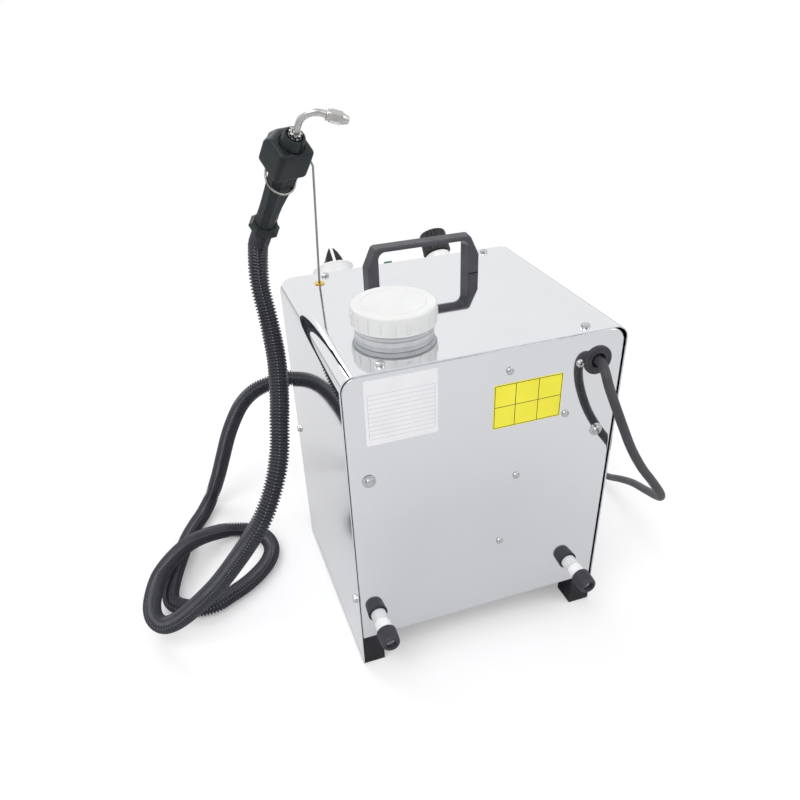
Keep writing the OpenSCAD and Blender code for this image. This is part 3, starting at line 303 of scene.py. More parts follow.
# Conduit: extruded black polypropylene, half gloss on the rib crests.
CONDUIT = Finish("corrugated_polypropylene", "#2A2B36", "#21222B", 0.34, 0.12, patch_mm=25, grain_mm=1.2,
                 relief_mm=0.02, specular=0.42)
# Ends of the conduit's ribs along its split line: coloured pale as a painted highlight on each rib.
RIB_END_HIGHLIGHT = Finish("cut_polypropylene", "#85868F", "#75767E", 0.6, 0.1, patch_mm=4, grain_mm=0.4, relief_mm=0.004)
# Mains cord: rubber sheath, dull dark grey.
SHEATH = Finish("rubber_sheath", "#434347", "#3A3A3E", 0.55, 0.12, patch_mm=18, grain_mm=1.0, relief_mm=0.02,
                sheen=0.05, specular=0.35)
# Moulded rubber of posts and grommet: deep grey, dull.
RUBBER = Finish("moulded_rubber", "#3C3C43", "#333339", 0.5, 0.14, patch_mm=9, grain_mm=0.7, relief_mm=0.03,
                specular=0.3)
# Feet: hard rubber, nearly black.
FOOT = Finish("foot_rubber", "#222226", "#1A1A1D", 0.55, 0.12, patch_mm=12, grain_mm=0.8, relief_mm=0.03,
              specular=0.3)
# Knobs: phenolic moulding, deep black with a soft gloss.
PHENOLIC = Finish("phenolic_moulding", "#232327", "#1B1B1E", 0.36, 0.1, patch_mm=8, grain_mm=0.5, relief_mm=0.01,
                  specular=0.3)
# Cap: white polypropylene, satin, light goes in a little.
WHITE_PP = Finish("white_polypropylene", "#E2E3E2", "#DDDEDD", 0.36, 0.08, patch_mm=35, grain_mm=1.0, relief_mm=0.01,
                  subsurface=0.08)
# White knob skirts and post sleeves: smooth moulding, half gloss.
WHITE_ABS = Finish("white_abs", "#F3F3F3", "#ECECEC", 0.34, 0.08, patch_mm=20, grain_mm=0.8, relief_mm=0.01)
# Tank: natural polyethylene, cloudy and grey where no light comes through.
NATURAL_PE = Finish("natural_polyethylene", "#C8C9CC", "#BDBEC1", 0.42, 0.1, patch_mm=14, grain_mm=1.5,
                    relief_mm=0.02, subsurface=0.25)
# Sealing disc: soft pale rubber, dull.
SEAL = Finish("soft_seal_rubber", "#DADADA", "#CFCFCF", 0.6, 0.1, patch_mm=12)
# Rocker: clear green moulding, glossy.
GREEN_PC = Finish("green_polycarbonate", "#1D7A4C", "#17633E", 0.2, 0.06, ior=1.58, patch_mm=6, relief_mm=0.004)
# Small bought-in devices inside: dark moulding.
DEVICE = Finish("device_plastic", "#3A3B3E", "#303134", 0.5, 0.1, patch_mm=14)
# Control board: green lacquer over glass fibre.
BOARD = Finish("coated_board", "#1F5A38", "#19492E", 0.4, 0.1, patch_mm=8, grain_mm=0.5)
# Yellow plate: vinyl film with ruled cells only.
YELLOW_FILM = LinedFilm("yellow_vinyl_film", "#F8EF3C", "#F2E836", 0.34, 0.06, patch_mm=25, relief_mm=0.003,
                        line_mm=0.7, columns=(-5.6, -27.5, -52.0, -76.9), rows=(281.6, 304.6, 327.9),
                        span_x=(-77.2, -5.3), span_z=(281.3, 328.2))
# White plate: polyester film with plain ruled lines only.
WHITE_FILM = LinedFilm("white_polyester_film", "#F1F1F4", "#E9E9EC", 0.3, 0.06, patch_mm=30, relief_mm=0.003,
                       ink="#B9BAC0", line_mm=0.35, columns=(120.0, 55.5),
                       rows=tuple(299.0 + 4.6 * k for k in range(11)), span_x=(55.5, 120.0), span_z=(299.0, 345.0))


class Palette:
    """Makes each finish's material once."""

    made: dict[str, bpy.types.Material] = {}

    @classmethod
    def get(cls, finish: Finish) -> bpy.types.Material:
        """Gives the material of a finish, and makes it at first use.

        Args:
            finish: The finish.

        Returns:
            Its material.
        """
        if finish.name not in cls.made:
            cls.made[finish.name] = finish.make()
        return cls.made[finish.name]


# ---------------------------------------------------------------- mesh building


def turn(angle: float, axis: str) -> Matrix:
    """Gives a turn by degrees about x, y or z."""
    return Matrix.Rotation(math.radians(angle), 4, axis)


def inset(loop: Sequence[Flat], amount: float) -> list[Flat]:
    """Moves an anticlockwise outline inwards with mitred corners.

    Args:
        loop: Outline points.
        amount: Distance inwards, negative for outwards.

    Returns:
        As many points, moved.
    """
    moved = []
    for i, here in enumerate(loop):
        p = Vector(here)
        a = (p - Vector(loop[i - 1])).normalized()
        b = (Vector(loop[(i + 1) % len(loop)]) - p).normalized()
        normal = Vector((-a.y - b.y, a.x + b.x))
        normal = normal.normalized() if normal.length > 1e-9 else Vector((-a.y, a.x))
        reach = max(0.35, normal.dot(Vector((-a.y, a.x))))
        moved.append(tuple(p + normal * (amount / reach)))
    return moved


def arc(centre: Flat, radius: float, start: float, end: float, steps: int) -> list[Flat]:
    """Gives points on an arc, both ends included, with angles in degrees."""
    angles = [math.radians(start + (end - start) * k / steps) for k in range(steps + 1)]
    return [(centre[0] + radius * math.cos(a), centre[1] + radius * math.sin(a)) for a in angles]


def round_box(low: Flat, high: Flat, radius: float, steps: int = 6) -> list[Flat]:
    """Gives an anticlockwise rectangle with rounded corners."""
    x0, y0, x1, y1 = low[0] + radius, low[1] + radius, high[0] - radius, high[1] - radius
    return (arc((x1, y0), radius, -90, 0, steps) + arc((x1, y1), radius, 0, 90, steps)
            + arc((x0, y1), radius, 90, 180, steps) + arc((x0, y0), radius, 180, 270, steps))


def arch(width: float, low: float, high: float, radius: float, steps: int = 18) -> list[Flat]:
    """Gives an anticlockwise upright outline with two rounded upper corners.

    Args:
        width: Whole width.
        low: Lower edge.
        high: Upper edge.
        radius: Corner radius.
        steps: Segments in a corner.

    Returns:
        Outline points, with a guard point beside each end of a corner.
    """
    half = width / 2
    side, top = high - radius, half - radius
    return ([(-half, low), (half, low), (half, side - GUARD)] + arc((top, side), radius, 0, 90, steps)
            + [(top - GUARD, high), (GUARD - top, high)] + arc((-top, side), radius, 90, 180, steps)
            + [(-half, side - GUARD)])


def smooth_path(points: Sequence[Sequence[float]], parts: int) -> list[Vector]:
    """Runs a smooth curve through points, straight in its first and last stretch.

    Args:
        points: Points in mm.
        parts: Pieces between two points.

    Returns:
        Points on the curve.
    """
    p = [Vector(q) for q in points]
    n = len(p)
    curve = []
    for i in range(n - 1):
        for j in range(parts):
            t = j / parts
            if i in (0, n - 2):
                curve.append(p[i].lerp(p[i + 1], t))
                continue
            a, b, c, d = p[i - 1], p[i], p[i + 1], p[i + 2]
            curve.append(0.5 * (2 * b + (c - a) * t + (2 * a - 5 * b + 4 * c - d) * t ** 2
                                + (3 * b - 3 * c + d - a) * t ** 3))
    return curve + [p[-1]]


def path_length(points: Sequence[Vector]) -> float:
    """Adds up the steps along points."""
    return sum((b - a).length for a, b in zip(points, points[1:]))


class Shape:
    """A mesh under construction, in mm of the cabinet's frame."""

    def __init__(self, seat: Matrix | None = None) -> None:
        """Starts empty.

        Args:
            seat: Places what is added next.
        """
        self.seat = seat or Matrix()
        self.points: list[Vector] = []
        self.faces: list[list[int]] = []

    def at(self, seat: Matrix) -> "Shape":
        """Changes the seat for what is added next."""
        self.seat = seat
        return self

    def take(self, points: Iterable[Sequence[float]], faces: Iterable[Sequence[int]]) -> "Shape":
        """Adds points and faces through the seat.

        Args:
            points: Points in the seat's own frame.
            faces: Corner numbers within these points.

        Returns:
            This shape.
        """
        start = len(self.points)
        self.points += [self.seat @ Vector(p) for p in points]
        self.faces += [[start + k for k in face] for face in faces]
        return self

    def loft(self, rings: Sequence[Sequence[Spot]], caps: bool = True, around: bool = False) -> "Shape":
        """Skins rings that have as many points each.

        Args:
            rings: Rings in order.
            caps: Whether the first and last ring are closed by a face.
            around: Whether the last ring joins the first.

        Returns:
            This shape.
        """
        n = len(rings[0])
        count = len(rings)
        faces = []
        for i in range(count if around else count - 1):
            low, high = i * n, (i + 1) % count * n
            faces += [[low + k, low + (k + 1) % n, high + (k + 1) % n, high + k] for k in range(n)]
        if caps and not around:
            faces += [list(range(n))[::-1], list(range((count - 1) * n, count * n))]
        return self.take([p for ring in rings for p in ring], faces)

    def lathe(self, profile: Sequence[Flat], steps: int = 64, closed: bool = False) -> "Shape":
        """Turns a profile of radius and height about the seat's z axis.

        Args:
            profile: Radius and height, in order.
            steps: Segments round the axis.
            closed: Whether the profile is a closed outline.

        Returns:
            This shape.
        """
        rings = [[(r * math.cos(2 * math.pi * k / steps), r * math.sin(2 * math.pi * k / steps), z)
                  for k in range(steps)] for r, z in profile]
        return self.loft(rings, caps=not closed, around=closed)

    def slab(self, outline: Sequence[Flat], low: float, high: float, bevel: float,
             holes: Sequence[Sequence[Flat]] = (), steps: int = 3) -> "Shape":
        """Extrudes an outline along the seat's z axis, with rounded edges.

        Args:
            outline: Anticlockwise outline.
            low: Lower face.
            high: Upper face.
            bevel: Edge radius.
            holes: Anticlockwise outlines of holes.
            steps: Segments in an edge.

        Returns:
            This shape.
        """
        quarter = [math.pi / 2 * k / steps for k in range(steps + 1)]
        levels = [(bevel * (1 - math.sin(a)), low + bevel * (1 - math.cos(a))) for a in quarter]
        levels += [(o, high + low - z) for o, z in reversed(levels)]
        loops = [(list(outline), 1.0)] + [(list(hole), -1.0) for hole in holes]
        for loop, side in loops:
            self.loft([[(x, y, z) for x, y in inset(loop, side * o)] for o, z in levels], caps=not holes)
        if holes:
            caps = [inset(loop, side * bevel) for loop, side in loops]
            flat = [Vector((x, y, 0)) for cap in caps for x, y in cap]
            triangles = geometry.tessellate_polygon([[Vector((x, y, 0)) for x, y in cap] for cap in caps])
            for z in (low, high):
                self.take([(p.x, p.y, z) for p in flat], triangles)
        return self

    def tube(self, path: Sequence[Vector], radius: float, sides: int = 16) -> "Shape":
        """Sweeps a round bar along points.

        Args:
            path: Points of the centre line.
            radius: Radius of the bar.
            sides: Segments round it.

        Returns:
            This shape.
        """
        rings = []
        side: Vector | None = None
        for i, here in enumerate(path):
            ahead = (path[min(i + 1, len(path) - 1)] - path[max(i - 1, 0)]).normalized()
            if side is None:
                side = ahead.orthogonal()
            side = (side - ahead * side.dot(ahead)).normalized()
            other = ahead.cross(side)
            rings.append([here + radius * (side * math.cos(2 * math.pi * k / sides)
                                           + other * math.sin(2 * math.pi * k / sides)) for k in range(sides)])
        return self.loft(rings)

    def mesh(self, name: str, sharp: float = 38.0) -> bpy.types.Mesh:
        """Makes a clean mesh in metres.

        Args:
            name: Name of the mesh.
            sharp: Angle in degrees from which an edge is sharp.

        Returns:
            The mesh.
        """
        mesh = bpy.data.meshes.new(name)
        mesh.from_pydata([row(p) for p in self.points], [], self.faces)
        build = bmesh.new()
        build.from_mesh(mesh)
        bmesh.ops.remove_doubles(build, verts=build.verts, dist=1e-6)
        bmesh.ops.dissolve_degenerate(build, edges=build.edges, dist=1e-7)
        bmesh.ops.recalc_face_normals(build, faces=build.faces)
        build.to_mesh(mesh)
        build.free()
        mesh.polygons.foreach_set("use_smooth", [True] * len(mesh.polygons))
        mesh.set_sharp_from_angle(angle=math.radians(sharp))
        return mesh

    def piece(self, name: str, sharp: float = 38.0) -> bpy.types.Object:
        """Makes a linked object whose flat faces shade flat.

        Args:
            name: Name of the piece.
            sharp: Angle in degrees from which an edge is sharp.

        Returns:
            The object, at the origin.
        """
        thing = link(name, self.mesh(name, sharp))
        settle(thing)
        return thing


def evaluated(thing: bpy.types.Object) -> bpy.types.Mesh:
    """Gives a new mesh of an object with its modifiers run."""
    bpy.context.view_layer.update()
    return bpy.data.meshes.new_from_object(thing.evaluated_get(bpy.context.evaluated_depsgraph_get()))


def settle(thing: bpy.types.Object) -> None:
    """Evens an object's normals and turns its modifiers into its own mesh.

    Args:
        thing: The object.
    """
    thing.modifiers.new("even", "WEIGHTED_NORMAL").keep_sharp = True
    mesh = evaluated(thing)
    thing.modifiers.clear()
    old, thing.data = thing.data, mesh
    bpy.data.meshes.remove(old)
    mesh.name = thing.name


def cut(thing: bpy.types.Object, tool: Shape) -> None:
    """Takes a tool's volume out of a piece.

    Args:
        thing: The piece.
        tool: The volume that goes.
    """
    knife = link("knife", tool.mesh("knife"))
    step = thing.modifiers.new("cut", "BOOLEAN")
    step.operation = "DIFFERENCE"
    step.solver = "EXACT"
    step.object = knife
    settle(thing)
    bpy.data.objects.remove(knife)


def dress(thing: bpy.types.Object, finish: Finish, slot: str, *nodes: str, body: str = "cabinet") -> bpy.types.Object:
    """Gives a piece its finish, the nodes it stands for and the body it rides on.

    Args:
        thing: The piece.
        finish: Its finish.
        slot: Not used.
        nodes: Solids that it replaces.
        body: Body that carries it.

    Returns:
        The piece.
    """
    thing.data.materials.clear()
    thing.data.materials.append(Palette.get(finish))
    if nodes:
        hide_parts(*nodes)
    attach(thing, body)
    LOG.info("%s: %d faces, rides on %s", thing.name, len(getattr(thing.data, "polygons", ())), body)
    return thing


class Recipe:
    """A geometry node tree with named inputs, applied to a piece and turned to mesh."""

    KINDS = {float: "NodeSocketFloat", int: "NodeSocketInt"}

    def __init__(self, name: str, sizes: dict[str, float | int]) -> None:
        """Starts a tree.

        Args:
            name: Name of the tree.
            sizes: Inputs with their values, in metres or as counts.
        """
        self.tree = bpy.data.node_groups.new(name, "GeometryNodeTree")
        face = self.tree.interface
        face.new_socket("Geometry", in_out="INPUT", socket_type="NodeSocketGeometry")
        face.new_socket("Geometry", in_out="OUTPUT", socket_type="NodeSocketGeometry")
        self.values: dict[str, Any] = {}
        for key, value in sizes.items():
            self.input(key, self.KINDS[type(value)], value)
        self.start = self.tree.nodes.new("NodeGroupInput")

    def input(self, key: str, kind: str, value: Any) -> None:
        """Adds a named input and keeps its value by identifier.

        Args:
            key: Name of the input.
            kind: Blender's name of its socket type.
            value: Its value.
        """
        socket = self.tree.interface.new_socket(key, in_out="INPUT", socket_type=kind)
        self.values[socket.identifier] = value

    def __getitem__(self, key: str) -> bpy.types.NodeSocket:
        """Gives the socket of a named input."""
        return self.start.outputs[key]

    def end(self, shape: bpy.types.NodeSocket) -> None:
        """Closes the tree: instances made real, material set.

        Args:
            shape: The geometry that the tree gives.
        """
        real = add(self.tree, "GeometryNodeRealizeInstances", {"Geometry": shape})
        coated = add(self.tree, "GeometryNodeSetMaterial", {
            "Geometry": real.outputs[0], "Material": self["Material"]})
        add(self.tree, "NodeGroupOutput", {0: coated.outputs[0]})

    def apply(self, thing: bpy.types.Object) -> bpy.types.Object:
        """Runs the tree on an object and gives a plain mesh piece of the same name.

        Args:
            thing: A mesh or curve object.

        Returns:
            The piece.
        """
        step = thing.modifiers.new(self.tree.name, "NODES")
        step.node_group = self.tree
        for key, value in self.values.items():
            step[key] = value
        mesh = evaluated(thing)
        mesh.name = thing.name
        name = thing.name
        bpy.data.objects.remove(thing)
        return link(name, mesh)


def scatter(name: str, master: Shape, seats: Sequence[tuple[Spot, Spot]], finish: Finish) -> bpy.types.Object:
    """Puts copies of a small part on points, each facing its own way.

    Args:
        name: Name of the piece.
        master: The part, round the frame's origin, facing +Z.
        seats: Place and facing of each copy.
        finish: The finish.

    Returns:
        The piece.
    """
    model = link(name + "_model", master.mesh(name + "_model"))
    model.data.transform(Matrix.Translation(-SHIFT * MM))
    field_mesh = bpy.data.meshes.new(name)
    field_mesh.from_pydata([row(place) for place, _ in seats], [], [])
    aim = field_mesh.attributes.new("aim", "FLOAT_VECTOR", "POINT")
    aim.data.foreach_set("vector", [v for _, facing in seats for v in facing])
    points = link(name, field_mesh)
    recipe = Recipe(name + "_field", {"Size": 1.0})
    recipe.input("Material", "NodeSocketMaterial", Palette.get(finish))
    recipe.input("Part", "NodeSocketObject", model)
    tree = recipe.tree
    part = add(tree, "GeometryNodeObjectInfo", {"Object": recipe["Part"], "As Instance": True})
    way = add(tree, "GeometryNodeInputNamedAttribute", {"Name": "aim"}, data_type="FLOAT_VECTOR")
    facing = add(tree, "FunctionNodeAlignRotationToVector", {"Vector": way.outputs[0]}, axis="Z")
    copies = add(tree, "GeometryNodeInstanceOnPoints", {
        "Points": recipe["Geometry"], "Instance": part.outputs["Geometry"], "Rotation": facing.outputs[0],
        "Scale": recipe["Size"]})
    recipe.end(copies.outputs[0])
    made = recipe.apply(points)
    bpy.data.objects.remove(model)
    return made


def poly_curve(name: str, points: Sequence[Vector]) -> bpy.types.Object:
    """Makes a curve that runs straight from point to point.

    Args:
        name: Name of the object.
        points: Points in mm.

    Returns:
        The curve object.
    """
    data = bpy.data.curves.new(name, "CURVE")
    data.dimensions = "3D"
    line = data.splines.new("POLY")
    line.points.add(len(points) - 1)
    for spot, point in zip(line.points, points):
        spot.co = (*row(point), 1)
    return link(name, data)


def coat_nodes(finish: Finish, *nodes: str) -> None:
    """Gives solids that stay their finish.

    Args:
        finish: The finish.
        nodes: Names of the solids.
    """
    for node in nodes:
        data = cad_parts[node].data
        data.materials.clear()
        data.materials.append(Palette.get(finish))
        LOG.info("%s: %s", node, finish.name)


# ---------------------------------------------------------------- stage


@dataclass
class Studio:
    """Camera at the photograph's angle, pale floor, soft light; lengths of the stage itself are metres."""

    place: Spot = (265.03, 668.32, 662.63)
    azimuth: float = 161.55
    elevation: float = 34.473
    roll: float = -1.983
    lens: float = 32.715
    shift: Flat = (-0.009, 0.072)
    sensor: float = 36.0
    floor_half: float = 6.0
    paper: str = "#DDDDDE"
    lift: float = 0.27
    fade: Flat = (0.6, 1.1)
    ambient: float = 0.62
    card: tuple[Spot, ...] = ((-1.2, 1.6, 0.85), (1.5, 1.6, 0.85), (1.5, 1.5, 1.4), (-1.2, 1.5, 1.4))
    card_tone: str = "#97979B"
    lamps: tuple[tuple[str, Spot, float, float], ...] = (
        ("key", (1.3, 1.2, 2.4), 1.8, 32.0), ("fill", (-1.6, 1.4, 1.8), 1.6, 14.0),
        ("rim", (0.6, -1.8, 2.2), 1.6, 22.0))
    lamp_aim: Spot = (0.0, 0.0, 0.2)

    def camera(self) -> None:
        """Sets the camera."""
        a, e, r = (math.radians(v) for v in (self.azimuth, self.elevation, self.roll))
        back = Vector((math.sin(a) * math.cos(e), -math.cos(a) * math.cos(e), math.sin(e)))
        right = Vector((math.cos(a), math.sin(a), 0))
        up = back.cross(right)
        x = math.cos(r) * right + math.sin(r) * up
        y = math.cos(r) * up - math.sin(r) * right
        data = bpy.data.cameras.new("camera")
        data.sensor_width = self.sensor
        data.lens = self.lens
        data.shift_x, data.shift_y = self.shift
        data.clip_start = 0.01
        camera = link("camera", data)
        turned = Matrix((x, y, back)).transposed().to_4x4()
        camera.matrix_world = Matrix.Translation(row(self.place)) @ turned
        bpy.context.scene.camera = camera

    @staticmethod
    def panel(name: str, corners: Sequence[Spot], coating: str) -> tuple[bpy.types.Object, bpy.types.NodeTree]:
        """Makes a four-cornered panel of the stage.

        Args:
            name: Name of the object.
            corners: Its corners in metres.
            coating: Name of its material.

        Returns:
            The object and its material's tree, still empty.
        """
        mesh = bpy.data.meshes.new(name)
        mesh.from_pydata(corners, [], [(0, 1, 2, 3)])
        material = bpy.data.materials.new(coating)
        material.use_nodes = True
        material.node_tree.nodes.clear()
        mesh.materials.append(material)
        return link(name, mesh), material.node_tree

    def floor(self) -> None:
        """Lays a pale floor that shows white to the camera and keeps the shadow."""
        half = self.floor_half
        floor, tree = self.panel("floor", [(-half, -half, 0), (half, -half, 0), (half, half, 0), (-half, half, 0)],
                                 "studio_paper")
        direct = add(tree, "ShaderNodeLightPath").outputs["Is Camera Ray"]
        paper = add(tree, "ShaderNodeBsdfDiffuse", {"Color": linear(self.paper)})
        lift = add(tree, "ShaderNodeMath", {0: direct, 1: self.lift}, operation="MULTIPLY")
        glow = add(tree, "ShaderNodeEmission", {"Strength": lift.outputs[0]})
        near = add(tree, "ShaderNodeAddShader", {0: paper.outputs[0], 1: glow.outputs[0]})
        spot = add(tree, "ShaderNodeTexCoord").outputs["Object"]
        away = add(tree, "ShaderNodeVectorMath", {0: spot}, operation="LENGTH")
        fade = add(tree, "ShaderNodeMapRange", {
            "Value": away.outputs["Value"], "From Min": self.fade[0], "From Max": self.fade[1]},
                   interpolation_type="SMOOTHSTEP")
        fade = add(tree, "ShaderNodeMath", {0: fade.outputs[0], 1: direct}, operation="MULTIPLY")
        white = add(tree, "ShaderNodeEmission", {"Strength": 1.0})
        whole = add(tree, "ShaderNodeMixShader", {0: fade.outputs[0], 1: near.outputs[0], 2: white.outputs[0]})
        add(tree, "ShaderNodeOutputMaterial", {"Surface": whole.outputs[0]})

    def light(self) -> None:
        """Sets a white surround and large soft lamps."""
        world = bpy.data.worlds.new("studio")
        bpy.context.scene.world = world
        world.use_nodes = True
        tree = world.node_tree
        tree.nodes.clear()
        ray = add(tree, "ShaderNodeLightPath")
        seen = add(tree, "ShaderNodeMath", {0: ray.outputs["Is Camera Ray"], 1: ray.outputs["Is Glossy Ray"]},
                   operation="MAXIMUM")
        seen = add(tree, "ShaderNodeMath", {0: seen.outputs[0], 1: ray.outputs["Is Transmission Ray"]},
                   operation="MAXIMUM")
        strength = add(tree, "ShaderNodeMapRange", {"Value": seen.outputs[0], "To Min": self.ambient, "To Max": 1.0})
        glow = add(tree, "ShaderNodeBackground", {"Color": (1, 1, 1, 1), "Strength": strength.outputs[0]})
        add(tree, "ShaderNodeOutputWorld", {"Surface": glow.outputs[0]})
        for name, place, size, power in self.lamps:
            lamp = bpy.data.lights.new(name, "AREA")
            lamp.size = size
            lamp.energy = power
            aim = Vector(self.lamp_aim) - Vector(place)
            link(name, lamp).matrix_world = (Matrix.Translation(place)
                                             @ aim.to_track_quat("-Z", "Y").to_matrix().to_4x4())
        bpy.context.scene.view_settings.view_transform = "Standard"

    def flag(self) -> None:
        """Hangs a grey card behind the camera that only reflections see, so bright metal has dark edges."""
        card, tree = self.panel("flag", self.card, "grey_card")
        dark = add(tree, "ShaderNodeEmission", {"Color": linear(self.card_tone), "Strength": 1.0})
        add(tree, "ShaderNodeOutputMaterial", {"Surface": dark.outputs[0]})
        card.visible_camera = card.visible_diffuse = card.visible_shadow = card.visible_transmission = False

    def build(self) -> None:
        """Builds the stage."""
        self.camera()
        self.floor()
        self.flag()
        self.light()


# ---------------------------------------------------------------- cords


@dataclass
class MainsLead:
    """Rubber mains cord from the grommet to a coil in front of the cabinet, with its plug."""

    radius: float = 4.75
    start: Spot = (GLAND[0], 121.0, GLAND[1])
    coil_at: Flat = (-170.0, -262.0)
    coil_radius: float = 52.0
    coil_step: float = 10.4
    coil_turns: int = 2
    coil_start: float = 210.0
    lead: float = 60.0

    def coil_point(self, angle: float) -> Vector:
        """Gives a point of the coil: one flat spiral, then another lying on it.

        Args:
            angle: Degrees of travel from the coil's start.

        Returns:
            The point.
        """
        turns = angle / 360
        inward = turns if turns <= self.coil_turns else 2 * self.coil_turns - turns
        reach = self.coil_radius + self.coil_step * self.coil_turns / 2 - self.coil_step * inward
        f = min(1.0, max(0.0, (angle - self.coil_turns * 360 + 90) / 180))
        rise = (2 * self.radius + 0.5) * f * f * (3 - 2 * f)
        a = math.radians(self.coil_start + angle)
        return Vector((self.coil_at[0] + reach * math.cos(a), self.coil_at[1] + reach * math.sin(a),
                       self.radius + rise))

    def way(self, angle: float) -> Vector:
        """Gives the coil's direction of travel."""
        a = math.radians(self.coil_start + angle)
        return Vector((-math.sin(a), math.cos(a), 0))

    def route(self) -> list[Vector]:
        """Gives the cord's centre line.

        Returns:
            Points in mm.
        """
        s = Vector(self.start)
        first, way = self.coil_point(0), self.way(0)
        free = [s, s + Vector((0, 12, 0)), (-112, 145.4, 331), (-112.4, 153.4, 320), (-117.4, 160.8, 302),
                (-125.6, 166, 280), (-138.8, 168.8, 251), (-155.2, 169.4, 224), (-171, 170, 203), (-186, 167, 183),
                (-198, 158, 166), (-211, 136, 148), (-230, 95, 122), (-250, 45, 93), (-266, 0, 64), (-280, -45, 34),
                (-289, -85, 14), (-292, -120, 6), (-288, -155, self.radius), (-276, -192, self.radius),
                first - way * 60, first - way * 30, first - way * 10]
        last = self.coil_turns * 720
        coil = [self.coil_point(a) for a in range(0, last + 1, 5)]
        return smooth_path(free, 8) + coil + [coil[-1] + self.way(last) * self.lead * k / 4 for k in (1, 2, 3, 4)]

    def plug(self) -> tuple[bpy.types.Object, bpy.types.Object]:
        """Makes the moulded plug and its two pins.

        Returns:
            The plug and the pins.
        """
        last = self.coil_turns * 720
        ahead = self.way(last)
        at = self.coil_point(last) + ahead * self.lead
        side = Vector((0, 0, 1)).cross(ahead)
        seat = Matrix((side, Vector((0, 0, 1)), ahead)).transposed().to_4x4()
        seat.translation = at
        body = Shape(seat)
        rings = []
        for z, half_x, half_y in ((0, 6, 6), (1, 6.8, 6.8), (20, 8.6, 8.2), (24, 12, 10), (30, 13.6, 12.4),
                                  (44, 13.9, 13.2), (48.5, 13.4, 12.6), (50, 11.8, 11)):
            rings.append([(x, y, z) for x, y in round_box((-half_x, -half_y), (half_x, half_y),
                                                          0.72 * min(half_x, half_y))])
        body.loft(rings)
        for k in range(5):
            z = 3.5 + 3.4 * k
            body.lathe([(7.2, z), (8.6, z + 0.3), (8.6, z + 1.5), (7.2, z + 1.8)], 32, closed=True)
        pins = Shape()
        for s in (-1, 1):
            pins.at(seat @ Matrix.Translation((9.5 * s, 0, 49)))
            pins.lathe([(0, 0), (2.4, 0), (2.4, 18), (2.1, 19.2), (1.3, 19.9), (0, 20)], 24)
        plug = dress(body.piece("plug_body"), RUBBER, "cord_rubber", "mains_plug")
        return plug, dress(pins.piece("plug_prongs"), CHROME, "pin_metal", "plug_pins")

    def build(self) -> None:
        plug, pins = self.plug()
        points = self.route()
        cord = poly_curve("mains_lead", points)
        cord.data.bevel_depth = self.radius * MM
        cord.data.bevel_resolution = 6
        cord.data.use_fill_caps = True
        cord.data.splines[0].use_smooth = True
        dress(cord, SHEATH, "cord_rubber", "mains_cord", "mains_coil")


